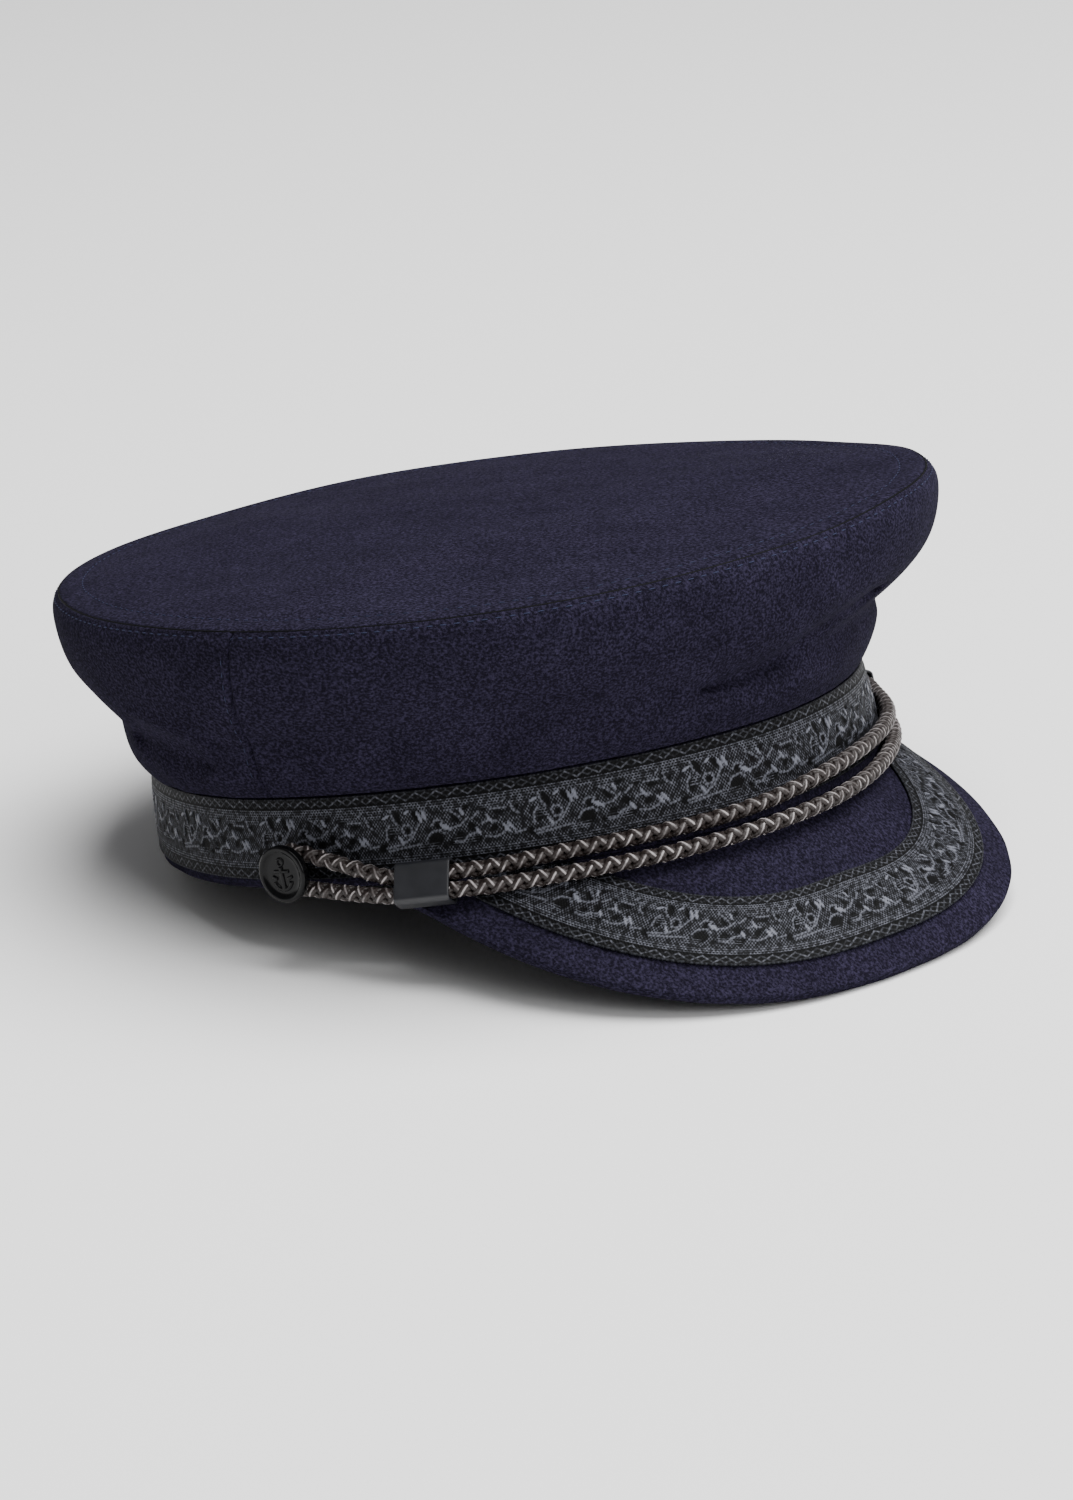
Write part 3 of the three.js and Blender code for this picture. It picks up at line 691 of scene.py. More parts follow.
# Unevenness of the cloth: height and size in mm, and a seed
SIDE_SOFTNESS = ((0.7, 48, 1), (0.26, 17, 2))
SIDE_GATHERS = ((0.5, 9, 3), (0.35, 21, 4))
TOP_SAG = ((0.9, 60, 6), (0.3, 22, 7))
BAND_UNEVENNESS = ((0.15, 9, 8),)
PEAK_UNEVENNESS = ((0.16, 11, 9),)

# Distance from the edge seam over which side and top pass into their softness
SIDE_FADE = 6 * MM
TOP_FADE = 8 * MM

# How far the side seams run forward: degrees at the band, degrees more at the edge seam, and the
# angle over which the cloth beside them is drawn along
SWEEP_AT_BAND = 1.1
SWEEP_TO_EDGE = 4
SWEEP_REACH = math.radians(18)

# An arc of one radian around the crown's side is taken as this many mm everywhere
RADIAN = 100


def cloth_copy(name, node, levels, crease):
    """A subdivided copy of a plain solid, with its sharp edges held by a crease."""
    piece = only(in_scene(name, frame["nodes"][node].data.copy()))
    bpy.ops.mesh.customdata_custom_splitnormals_clear()
    bpy.ops.object.mode_set(mode="EDIT")
    bpy.ops.mesh.select_all(action="SELECT")
    bpy.ops.mesh.remove_doubles(threshold=1e-5)
    flat_enough, square_enough, sharp = math.radians(45), math.radians(80), math.radians(48)
    bpy.ops.mesh.tris_convert_to_quads(face_threshold=flat_enough, shape_threshold=square_enough)
    shape = bmesh.from_edit_mesh(piece.data)
    layer = shape.edges.layers.float.new("crease_edge")
    for edge in shape.edges:
        if edge.is_manifold and edge.calc_face_angle() > sharp:
            edge[layer] = crease
    bmesh.update_edit_mesh(piece.data)
    bpy.ops.object.mode_set(mode="OBJECT")
    for attribute in [a.name for a in piece.data.attributes if a.name in ("UVMap", "Color")]:
        piece.data.attributes.remove(piece.data.attributes[attribute])
    return modified(piece, "SUBSURF", levels=levels, render_levels=levels)


def seam_curve():
    """The edge seam as closely spaced places in the cap's own frame."""
    ring = seam_point(np.linspace(-math.pi, math.pi, 6000, endpoint=False))
    return evenly_spaced(ring, 0.25 * MM)[0]


def seam_relief(distance, row):
    """Height of the cloth beside a sewn seam: a groove at the seam, a slight rise over the
    turned-in edges and a shallow channel under the row of stitches."""
    groove = -SEAM_GROOVE * bell(distance, CHANNEL_WIDTH)
    rise = SEAM_RISE * bell(distance - 0.5 * row, 0.32 * row)
    channel = -STITCH_CHANNEL * bell(distance - row, CHANNEL_WIDTH)
    return groove + rise + channel


def panel_end(piece, side):
    """Places on the end of a side panel of the crown, in the cap's own frame."""
    cap, _, _ = settings()
    angle = side * cap.side_seam
    along = leftward(outward(angle))
    centres = np.array([in_cap(polygon.center) for polygon in piece.data.polygons])
    normals = np.array([tuple(polygon.normal) for polygon in piece.data.polygons])
    normals = normals @ np.array(cap_frame())[:3, :3]
    # The faces of the end are those near the seam that look along the band
    near = np.abs(around_cap(centres) - angle) < math.radians(8)
    ends = np.nonzero(near & (np.abs(normals @ along) > 0.85))[0]
    corners = {index for face in ends for index in piece.data.polygons[face].vertices}
    return in_cap(vertex_places(piece)[sorted(corners)])


def crown_folds(places):
    """How far the cloth of the crown's side stands out: broad softness, gathers above the
    band and a few small creases."""
    cap, _, _ = settings()
    angle = around_cap(places)
    height = places[:, 2] - cap.band_height
    # Gathers rise upright from the band: their noise is read on a ring of the crown's radius,
    # with heights shortened
    ring = np.stack([0.1 * np.sin(angle), 0.1 * np.cos(angle), 0.35 * height], axis=1)
    gathers = bell(height - 5 * MM, 9 * MM) * ripples(ring, SIDE_GATHERS)
    folds = 0 * angle
    for rise, width, route in FOLDS:
        folds += rise * MM * bell(distance_along(route, angle, places[:, 2] / MM), width)
    return ripples(places, SIDE_SOFTNESS) + gathers + folds


def distance_along(route, angle, height):
    """Distance in mm over the crown's side to a route of degrees and heights, growing towards
    the route's two ends so that a fold runs out there."""
    places = np.array([[RADIAN * math.radians(degrees), level] for degrees, level in route])
    nearest = np.full(len(angle), 1e3)
    total = len(places) - 1
    for k, (start, end) in enumerate(zip(places, places[1:])):
        run = end - start
        middle = (start[0] + end[0]) / (2 * RADIAN)
        arc = RADIAN * (middle + (angle - middle + math.pi) % (2 * math.pi) - math.pi)
        part = ((arc - start[0]) * run[0] + (height - start[1]) * run[1]) / (run @ run)
        at = np.clip(part, 0, 1)
        off = np.hypot(arc - start[0] - at * run[0], height - start[1] - at * run[1])
        along = (k + at) / total
        spread = 1 / np.clip(4 * np.minimum(along, 1 - along) + 0.25, 0.25, 1)
        nearest = np.minimum(nearest, off * spread)
    return nearest


def side_seams_swept(places):
    """Places of the crown's side, shifted around it so that the side seams run forward as they
    rise."""
    cap, _, _ = settings()
    offset = np.array([cap.crown_sideways, -cap.crown_forward, 0])
    half_length, half_width = cap.crown_length / 2, cap.crown_width / 2
    local = places - offset
    angle = np.arctan2(local[:, 0] / half_width, -local[:, 1] / half_length)
    rise = np.clip((places[:, 2] - cap.band_height) / cap.crown_rise, 0, 1)
    sweep = np.radians(SWEEP_AT_BAND + SWEEP_TO_EDGE * rise ** 2)
    shift = sweep * bell(np.abs(angle) - cap.side_seam, SWEEP_REACH)
    before = oval(half_length, half_width, cap.crown_squareness, angle)
    after = oval(half_length, half_width, cap.crown_squareness, angle - np.sign(angle) * shift)
    grown = np.hypot(local[:, 0], local[:, 1]) / np.hypot(before[:, 0], before[:, 1])
    moved = offset + after * grown[:, None]
    moved[:, 2] = places[:, 2]
    return moved


def crown_side(piece, way):
    """Works folds, seams and creases into a side panel of the crown, and lets its ends meet the
    other panel's: way is 1 on the front panel, whose ends move back, and -1 on the back one."""
    cap, trim, _ = settings()
    ends = side_seams_swept(np.concatenate([panel_end(piece, side) for side in (-1, 1)]))
    places = side_seams_swept(in_cap(vertex_places(piece)))
    angle = around_cap(places)
    out = outward(angle)
    edge = distance_to(seam_curve(), places)
    from_end = distance_to(ends, places)
    side_seams = SIDE_SEAM_DEPTH * seam_relief(from_end, trim.seam_row)
    seams = seam_relief(edge, trim.side_row) + side_seams
    relief = crown_folds(places) * (1 - bell(edge, SIDE_FADE)) + seams
    pull = way * np.sign(angle) * (cap.gap / 2 + SEAM_OVERLAP) * bell(from_end, SEAM_PULL)
    return moved_to(piece, placed(places + leftward(out) * pull[:, None] + out * relief[:, None]))


def crown_cover(piece):
    """Works softness and the seam into the crown's top."""
    _, trim, _ = settings()
    places = in_cap(vertex_places(piece))
    edge = distance_to(seam_curve(), places)
    sag = ripples(places, TOP_SAG) * (1 - bell(edge, TOP_FADE))
    places[:, 2] += sag + seam_relief(edge, trim.top_row)
    return moved_to(piece, placed(places))


def uneven(piece, rows):
    """Moves a piece's surface in and out a little."""
    normals = np.empty(len(piece.data.vertices) * 3, np.float32)
    piece.data.vertices.foreach_get("normal", normals)
    places = vertex_places(piece)
    return moved_to(piece, places + normals.reshape(-1, 3) * ripples(places, rows)[:, None])


def sewn_under(piece):
    """Tucks the edge of a peak that lies along the band into the band's lower edge."""
    places = in_cap(vertex_places(piece))
    angle = around_cap(places)
    out = outward(angle)
    clear = ((places - band_point(angle, 0)) * out).sum(axis=1)
    tucked = np.clip(1.5 - clear / MM, 0, 1)[:, None]
    inwards = 1.5 * MM * out - np.array([0, 0, 0.7 * MM])
    return moved_to(piece, placed(places - inwards * tucked))


# Stitches

def repeated(name, model, matrices):
    """One mesh with a copy of a small model at each place."""
    points = vertex_places(model)
    faces = [list(polygon.vertices) for polygon in model.data.polygons]
    everything = np.concatenate([
        points @ np.array(m)[:3, :3].T + np.array(m)[:3, 3] for m in matrices
    ])
    count = len(points)
    copies = [[index + k * count for index in face] for k in range(len(matrices)) for face in faces]
    bpy.data.objects.remove(model)
    return mesh_piece(name, everything, copies)


def stitch_model():
    """One stitch, lying along X and slightly arched."""
    _, trim, _ = settings()
    bpy.ops.object.select_all(action="DESELECT")
    bpy.ops.mesh.primitive_uv_sphere_add(segments=8, ring_count=6, radius=0.5)
    model = added("stitch_model")
    places = vertex_places(model)[:, [2, 0, 1]]
    places *= np.array([trim.stitch_length, trim.stitch_width * 1.25, trim.stitch_width])
    places[:, 2] -= 0.25 * trim.stitch_width * (2 * places[:, 0] / trim.stitch_length) ** 2
    return moved_to(model, places)


def stitches_along(line, closed, surface):
    """Placements of stitches along a line of places, laid on the nearest surface."""
    _, trim, _ = settings()
    if closed:
        spots, _ = evenly_spaced(line, trim.stitch_pitch)
        ahead = steps_round(spots)
    else:
        run = lengths_along(line)
        at = np.arange(trim.stitch_pitch / 2, run[-1], trim.stitch_pitch)
        spots = points_at(at, run, line)
        ahead = np.gradient(spots, axis=0)
    matrices = []
    for spot, direction in zip(spots, ahead):
        place, normal, _, _ = surface.find_nearest(Vector(spot))
        across = normal.cross(Vector(direction)).normalized()
        along = across.cross(normal)
        axes = Matrix((along, across, normal)).transposed().to_4x4()
        matrices.append(Matrix.Translation(place + normal * 0.2 * trim.stitch_width) @ axes)
    return matrices


# Woven braid

# The braid's face is sunk by this much, so that the raised figure stays within its thickness
FACE_SUNK = 0.25 * MM


def figure(u, v, run):
    """The woven figure of the braid at places along and across it, in metres: how far it is
    leaf, shiny thread and rib lines, and its height. A whole number of repeats fills its run."""
    _, trim, _ = settings()
    repeats = round(run / trim.braid_repeat)
    period = trim.braid_repeat / MM
    along = (u * repeats / run % 1 - 0.5) * period
    across = v / MM
    border = trim.border_width / MM
    from_edge = np.minimum(across, trim.braid_width / MM - across)
    field = across - border - 4 * trim.rib_pitch / MM

    def patch(x, y, half_length, half_width, degrees):
        """Places as shares of a turned patch's half length and half width."""
        dx = (along - x + period / 2) % period - period / 2
        dy = field - y
        c, s = math.cos(math.radians(degrees)), math.sin(math.radians(degrees))
        return (dx * c + dy * s) / half_length, (dy * c - dx * s) / half_width

    # Each kind of figure is full over its middle and falls to nothing at its outline
    leaf, satin, lines = (np.zeros_like(across) for _ in range(3))
    for row in LEAVES:
        p, q = patch(*row)
        leaf = np.maximum(leaf, np.clip(3.2 * (1.25 - p ** 2 - 0.85 * np.abs(q)), 0, 1))
    for row in FLOATS:
        p, q = patch(*row)
        satin = np.maximum(satin, np.clip(2.5 * (1.2 - p ** 2 - q ** 2), 0, 1))
    for row in TERRACES:
        p, q = patch(*row, 0)
        lines = np.maximum(lines, np.clip(4 * (1.1 - np.maximum(np.abs(p), np.abs(q))), 0, 1))
    for chain in STEMS:
        passed = 0
        for (x0, y0), (x1, y1) in zip(chain, chain[1:]):
            reach = math.hypot(x1 - x0, y1 - y0)
            ex, ey = (x1 - x0) / reach, (y1 - y0) / reach
            dx = (along - x0 + period / 2) % period - period / 2
            dy = field - y0
            at = np.clip(dx * ex + dy * ey, 0, reach)
            off = np.hypot(dx - at * ex, dy - at * ey)
            dots = 0.75 + 0.25 * np.cos(2 * np.pi * (passed + at) / 1.1)
            satin = np.maximum(satin, bell(off, 0.4) * dots)
            passed += reach
    leaf = leaf * (1 - satin) * (from_edge > border)
    height = 0.2 * satin - 0.2 * leaf - 0.14 * np.clip((border - from_edge) / 0.3, 0, 1)
    return leaf, satin, lines, height * MM


def woven_strip(name, face, closed, u, v, run):
    """A strip of braid on a grid of places, face[column, row], with the woven figure raised
    on it and a plain back."""
    _, trim, _ = settings()
    leaf, satin, lines, height = figure(u, v, run)
    normals = grid_normals(face, closed)
    front = face + normals * (height - FACE_SUNK)[..., None]
    back = face[:, [0, -1]] - normals[:, [0, -1]] * trim.braid_thickness
    columns, rows = face.shape[:2]
    ahead = np.arange(columns) if closed else np.arange(columns - 1)
    here, there = ahead[:, None], (ahead[:, None] + 1) % columns
    row = np.arange(rows - 1)[None, :]
    first, second = here * rows + row, there * rows + row
    faces = np.stack([first, second, second + 1, first + 1], axis=-1).reshape(-1, 4).tolist()
    low, high = columns * rows, columns * rows + 1
    for i, k in zip(ahead, (ahead + 1) % columns):
        faces.append([low + 2 * i, low + 2 * k, k * rows, i * rows])
        faces.append([i * rows + rows - 1, k * rows + rows - 1, high + 2 * k, high + 2 * i])
        faces.append([high + 2 * i, high + 2 * k, low + 2 * k, low + 2 * i])
    if not closed:
        last = columns - 1
        end = [last * rows + j for j in range(rows - 1, -1, -1)]
        faces.append([high, low] + list(range(rows)))
        faces.append([low + 2 * last, high + 2 * last] + end)
    points = np.concatenate([front.reshape(-1, 3), back.reshape(-1, 3)])
    piece = mesh_piece(name, placed(points), faces)
    plain = 2 * columns * [0]
    for label, values in (("leaf", leaf), ("satin", satin), ("lines", lines)):
        point_attribute(piece, label, np.concatenate([values.ravel(), plain]))
    ends = [0, -1]
    surface_map(piece, np.concatenate([u.ravel(), u[:, ends].ravel()]),
                np.concatenate([v.ravel(), v[:, ends].ravel()]))
    return piece


def band_braid():
    """The braid around the band."""
    cap, trim, _ = settings()
    dense = np.linspace(-math.pi, math.pi, 8000)
    run = lengths_along(band_point(dense, trim.band_margin))
    columns = round(run[-1] / trim.braid_grain)
    rows = round(trim.braid_width / trim.braid_grain)
    places = np.arange(columns) * run[-1] / columns
    angle = np.interp(places, run, dense)[:, None] + np.zeros(rows + 1)
    v = np.linspace(0, trim.braid_width, rows + 1)[None, :] + np.zeros((columns, 1))
    face = beside(angle, cap.gap + trim.braid_thickness, trim.band_margin + v)
    u = places[:, None] + np.zeros(rows + 1)
    return woven_strip("band_braid_woven", face, True, u, v, run[-1])


def peak_braid():
    """The braid along the peak's edge, as far as the corners leave room for it."""
    cap, trim, _ = settings()
    dense = np.linspace(-math.pi / 2, math.pi / 2, 4000)
    whole = peak_point(dense, 0 * dense + 1)
    width = np.linalg.norm(whole - peak_point(dense, 0 * dense), axis=1)
    fits = width > trim.peak_margin + trim.peak_end
    dense, width = dense[fits], width[fits]
    run = lengths_along(
        peak_point(dense, 1 - (trim.peak_margin + trim.braid_width / 4) / width))
    columns = round(run[-1] / trim.braid_grain)
    rows = round(trim.braid_width / trim.braid_grain)
    places = np.linspace(0, run[-1], columns + 1)
    turns = np.interp(places, run, dense)
    widths = np.interp(places, run, width)
    outer = trim.peak_margin / widths
    inner = np.minimum((trim.peak_margin + trim.braid_width) / widths, 1 - cap.gap / widths)
    part = np.linspace(0, 1, rows + 1)[None, :]
    inwards = outer[:, None] + (inner - outer)[:, None] * part
    base = peak_point(turns[:, None] + 0 * part, 1 - inwards)
    face = base + grid_normals(base, False) * (cap.gap + trim.braid_thickness)
    u = places[:, None] + 0 * part
    v = inwards * widths[:, None] - trim.peak_margin
    return woven_strip("peak_braid_woven", face, False, u, v, run[-1])


# Braided cord

# One strand of the plait, as shares of the cord's diameter: half its width, half its depth, its
# distance from the cord's middle, and how much that changes where strands pass over each other
STRAND_HALF_WIDTH = 0.26
STRAND_HALF_DEPTH = 0.165
STRAND_DISTANCE = 0.275
STRAND_WEAVE = 0.05

# Depth of the grooves between a strand's yarns as a share, and the spacing of its vertices
YARN_GROOVE = 0.13
RING_SPACING = 0.55 * MM


def plaited_cord():
    """A round plait of four strands along the closed route, each strand three yarns wide."""
    _, trim, _ = settings()
    centre, run = evenly_spaced(closed_curve(cord_route(), 24), RING_SPACING)
    along = unit(steps_round(centre))
    level = centre * np.array([1, 1, 0])
    out = unit(level - (level * along).sum(axis=1, keepdims=True) * along)
    up = np.cross(along, out)
    count = len(centre)
    phase = 2 * np.pi * round(run / trim.cord_lay) * np.arange(count) / count
    sides = 12
    around = 2 * np.pi * np.arange(sides) / sides
    lobes = 1 - YARN_GROOVE * np.cos(6 * around)
    half_width = STRAND_HALF_WIDTH * trim.cord_diameter
    half_depth = STRAND_HALF_DEPTH * trim.cord_diameter
    # The plait's flat sides lie above and below the middle of what shows, on both strands
    part = np.arange(count) / count
    crossing = -math.radians(70) * np.tanh(9 * np.sin(2 * np.pi * (part + 0.02)))
    points, faces, crest, runs = [], [], [], []
    for k in range(4):
        way = 1 if k < 2 else -1
        angle = crossing + way * phase + math.pi * k
        share_out = STRAND_DISTANCE + STRAND_WEAVE * way * np.cos(2 * (angle - crossing))
        radius = trim.cord_diameter * share_out
        radial = out * np.cos(angle)[:, None] + up * np.sin(angle)[:, None]
        middle = centre + radial * radius[:, None]
        ahead = steps_round(middle)
        side = unit(np.cross(ahead, radial))
        rise = unit(np.cross(side, ahead))
        ring = (
            middle[:, None] + side[:, None] * (half_width * lobes * np.cos(around))[None, :, None]
            + rise[:, None] * (half_depth * lobes * np.sin(around))[None, :, None]
        )
        faces += (tube_faces(count, sides) + k * count * sides).tolist()
        points.append(ring.reshape(-1, 3))
        # Crest: the outer middle of each strand, where the painted highlight goes
        crest.append(np.tile(np.clip(8 * np.sin(around) - 7, 0, 1), count))
        runs.append(np.repeat(np.arange(count) * run / count + k * 0.137, sides))
    piece = faces_outwards(
        mesh_piece("chin_cord_plaited", placed(np.concatenate(points)), faces))
    point_attribute(piece, "crest", np.concatenate(crest))
    point_attribute(piece, "run", np.concatenate(runs))
    return piece


# Keepers and buttons

def keeper_sleeve(side):
    """A moulded sleeve with rounded corners, open at both ends."""
    _, trim, _ = settings()
    _, inner_height, inner_depth = keeper_sizes()
    wall = trim.keeper_wall
    size = (trim.keeper_length, inner_height + 2 * wall, inner_depth + 2 * wall)
    piece = block("keeper_" + side + "_moulded", size)
    shape = edit(piece, "EDGE")
    for edge in shape.edges:
        ends = [corner.co for corner in edge.verts]
        edge.select_set(abs(ends[0].x - ends[1].x) > size[0] / 2)
    bpy.ops.mesh.bevel(offset=trim.keeper_corner, segments=6, affect="EDGES")
    shape = edit(piece)
    for face in shape.faces:
        face.select_set(abs(face.normal.x) > 0.9)
    bpy.ops.mesh.inset(thickness=wall, depth=0)
    bpy.ops.mesh.bridge_edge_loops()
    bpy.ops.object.mode_set(mode="OBJECT")
    modified(piece, "BEVEL", width=0.25 * MM, segments=3, limit_method="ANGLE",
             angle_limit=math.radians(40))
    modified(piece, "SUBSURF", levels=1, render_levels=1)
    piece.data.transform(cap_frame() @ keeper_matrix(side))
    return piece


def turned_head(radius, back, front, floor):
    """The button's shank and head, spun from half of its section."""
    _, trim, _ = settings()
    shank = trim.shank_diameter / 2
    rim = trim.button_rim
    bevel = 0.9 * MM
    round_off = 0.45 * MM
    section = [
        (0, 0), (shank, 0), (shank, back), (radius - bevel, back),
        (radius - 0.3 * bevel, back + 0.3 * bevel), (radius, back + bevel),
        (radius, front - round_off), (radius - 0.3 * round_off, front - 0.3 * round_off),
        (radius - round_off, front), (radius - rim, front),
        (radius - rim - 0.2 * MM, front - 0.15 * MM), (radius - rim - trim.anchor_relief, floor),
        (radius - 2.4 * rim, floor - 0.02 * MM), (0, floor + 0.1 * MM),
    ]
    corners = [(x, 0, z) for x, z in section]
    outline = [(k, k + 1) for k in range(len(section) - 1)]
    piece = mesh_piece("button_section", corners, [], outline)
    edit(piece, "VERT")
    bpy.ops.mesh.select_all(action="SELECT")
    bpy.ops.mesh.spin(steps=72, angle=2 * math.pi, center=(0, 0, 0), axis=(0, 0, 1))
    bpy.ops.mesh.select_all(action="SELECT")
    bpy.ops.mesh.remove_doubles(threshold=0.01 * MM)
    bpy.ops.mesh.normals_make_consistent(inside=False)
    bpy.ops.object.mode_set(mode="OBJECT")
    return piece


def raised_bar(start, end, width, depth, floor):
    """One rounded bar of the anchor, from one place on the button's face to another."""
    run = Vector(end) - Vector(start)
    turned = Matrix.Rotation(math.atan2(run.y, run.x), 4, "Z")
    middle = (Vector(start) + Vector(end)) / 2
    piece = block("anchor_bar", (run.length + 0.4 * width, width, 2 * depth))
    modified(piece, "BEVEL", width=0.3 * min(width, 2 * depth), segments=3)
    piece.data.transform(Matrix.Translation((middle.x, middle.y, floor)) @ turned)
    return piece


def raised_ring(centre, radius, bar, depth, floor, reach=math.pi):
    """A ring of the anchor, or the stretch of it within an angle of straight down."""
    bpy.ops.object.select_all(action="DESELECT")
    bpy.ops.mesh.primitive_torus_add(
        major_segments=48, minor_segments=10, major_radius=radius, minor_radius=bar / 2
    )
    piece = added("anchor_ring")
    moved_to(piece, vertex_places(piece) * np.array([1, 1, 2 * depth / bar]))
    if reach < math.pi:
        shape = edit(piece, "VERT")
        for corner in shape.verts:
            corner.select_set(abs(math.atan2(corner.co.x, -corner.co.y)) > reach)
        bpy.ops.mesh.delete(type="VERT")
        bpy.ops.mesh.select_all(action="SELECT")
        bpy.ops.mesh.fill_holes(sides=0)
        bpy.ops.object.mode_set(mode="OBJECT")
    piece.data.transform(Matrix.Translation((centre[0], centre[1], floor)))
    return piece


def anchor_pieces(floor):
    """A plain anchor: ring, shank, stock, arms and flukes."""
    _, trim, _ = settings()
    bar, depth = trim.anchor_bar, trim.anchor_relief
    half = trim.anchor_height / 2
    ring, arms = 1.1 * MM, 2.6 * MM
    arm_centre = arms + bar / 2 - half
    pieces = [
        raised_ring((0, half - ring), ring - bar / 4, 0.6 * bar, depth, floor),
        raised_ring((0, arm_centre), arms, bar, depth, floor, math.radians(78)),
        raised_bar((0, bar / 2 - half), (0, half - 2.2 * ring), bar, depth, floor),
        raised_bar((-2.1 * MM, half - 3.1 * ring), (2.1 * MM, half - 3.1 * ring), 0.8 * bar, depth,
                   floor),
    ]
    for way in (-1, 1):
        tip = (way * (arms + 0.25 * bar), arm_centre + 0.5 * bar)
        barb = (tip[0] - way * 1.1 * bar, tip[1] - 0.5 * bar)
        pieces.append(raised_bar(barb, tip, 0.8 * bar, depth, floor))
    return pieces


def shank_button(side):
    """A round button with a raised rim and an anchor, on its shank."""
    _, trim, _ = settings()
    back = shank_length()
    front = back + trim.button_thickness
    floor = front - trim.anchor_relief
    head = turned_head(trim.button_diameter / 2, back, front, floor)
    button = joined(head, anchor_pieces(floor))
    button.name = "button_" + side + "_moulded"
    button.data.name = button.name
    button.data.transform(cap_frame() @ button_matrix(side))
    return button


# Materials

def linear(code):
    """The linear colour of an sRGB hex code."""
    channels = [int(code[k:k + 2], 16) / 255 for k in (1, 3, 5)]
    return [c / 12.92 if c <= 0.04045 else ((c + 0.055) / 1.055) ** 2.4 for c in channels] + [1]


def add_node(tree, kind, inputs, **values):
    """Adds a shader node with its settings, sets or links its inputs and gives its outputs."""
    made = tree.nodes.new("ShaderNode" + kind)
    for name, value in values.items():
        setattr(made, name, value)
    for socket, value in inputs.items():
        if isinstance(value, bpy.types.NodeSocket):
            tree.links.new(value, made.inputs[socket])
        else:
            made.inputs[socket].default_value = value
    return made.outputs


def finish_of(build):
    """The material whose shader a function builds, made once and shared under its name."""
    material = bpy.data.materials.get(build.__name__)
    if material is None:
        material = bpy.data.materials.new(build.__name__)
        material.use_nodes = True
        tree = material.node_tree
        tree.nodes.clear()
        add_node(tree, "OutputMaterial", {"Surface": build(tree)["BSDF"]})
    return material


def scaled(colour, amount):
    """A linear colour made darker, or lighter by an amount above 1."""
    return [channel * amount for channel in colour[:3]] + [1]


def melton_cloth(tree):
    """Melton: woollen cloth fulled and brushed until its weave is gone. It looks deep and
    matte, with single lighter fibres lying over a dark ground and a faint halo at the edges."""
    _, _, colours = settings()
    around = add_node(tree, "TexCoord", {})["Object"]
    place = add_node(tree, "VectorMath", {0: around, 1: (1, 0.6, 1)}, operation="MULTIPLY")["Vector"]
    # Tufts, single fibres and cloudy patches, drawn longer by the nap that is brushed from front
    # to back: size in mm and roughness of the noise, the part of it that counts and its outcome
    noises, shares = [], []
    for size, roughness, low, high, least, most in (
            (0.6, 0.6, 0.42, 0.7, 0.12, 0.8), (0.35, 0.7, 0.56, 0.74, 0, 0.85),
            (14, 0.5, 0.3, 0.7, 0.88, 1.12)):
        noises.append(add_node(tree, "TexNoise", {
            "Vector": place, "Scale": 1 / (size * MM), "Detail": 2, "Roughness": roughness})["Fac"])
        shares.append(add_node(tree, "MapRange", {
            "Value": noises[-1], "From Min": low, "From Max": high, "To Min": least,
            "To Max": most})["Result"])
    tufts, fibres, _ = noises
    fleck, glint, worn = shares
    amount = add_node(tree, "Math", {0: fleck, 1: glint}, operation="MAXIMUM")
    cloth = add_node(tree, "Mix", {
        "Factor": amount["Value"], "A": linear(colours.wool),
        "B": linear(colours.wool_light)}, data_type="RGBA")
    tint = add_node(tree, "VectorMath", {0: cloth["Result"], "Scale": worn}, operation="SCALE")
    nap = add_node(tree, "Bump", {"Height": tufts, "Strength": 0.4, "Distance": 0.4 * MM})
    pile = add_node(tree, "Bump", {
        "Height": fibres, "Strength": 0.4, "Distance": 0.2 * MM, "Normal": nap["Normal"]})
    return add_node(tree, "BsdfPrincipled", {
        "Base Color": tint["Vector"], "Roughness": 0.95, "IOR": 1.4,
        "Specular IOR Level": 0.02, "Sheen Weight": 0.01, "Sheen Roughness": 0.4,
        "Sheen Tint": linear(colours.wool_halo), "Normal": pile["Normal"]})


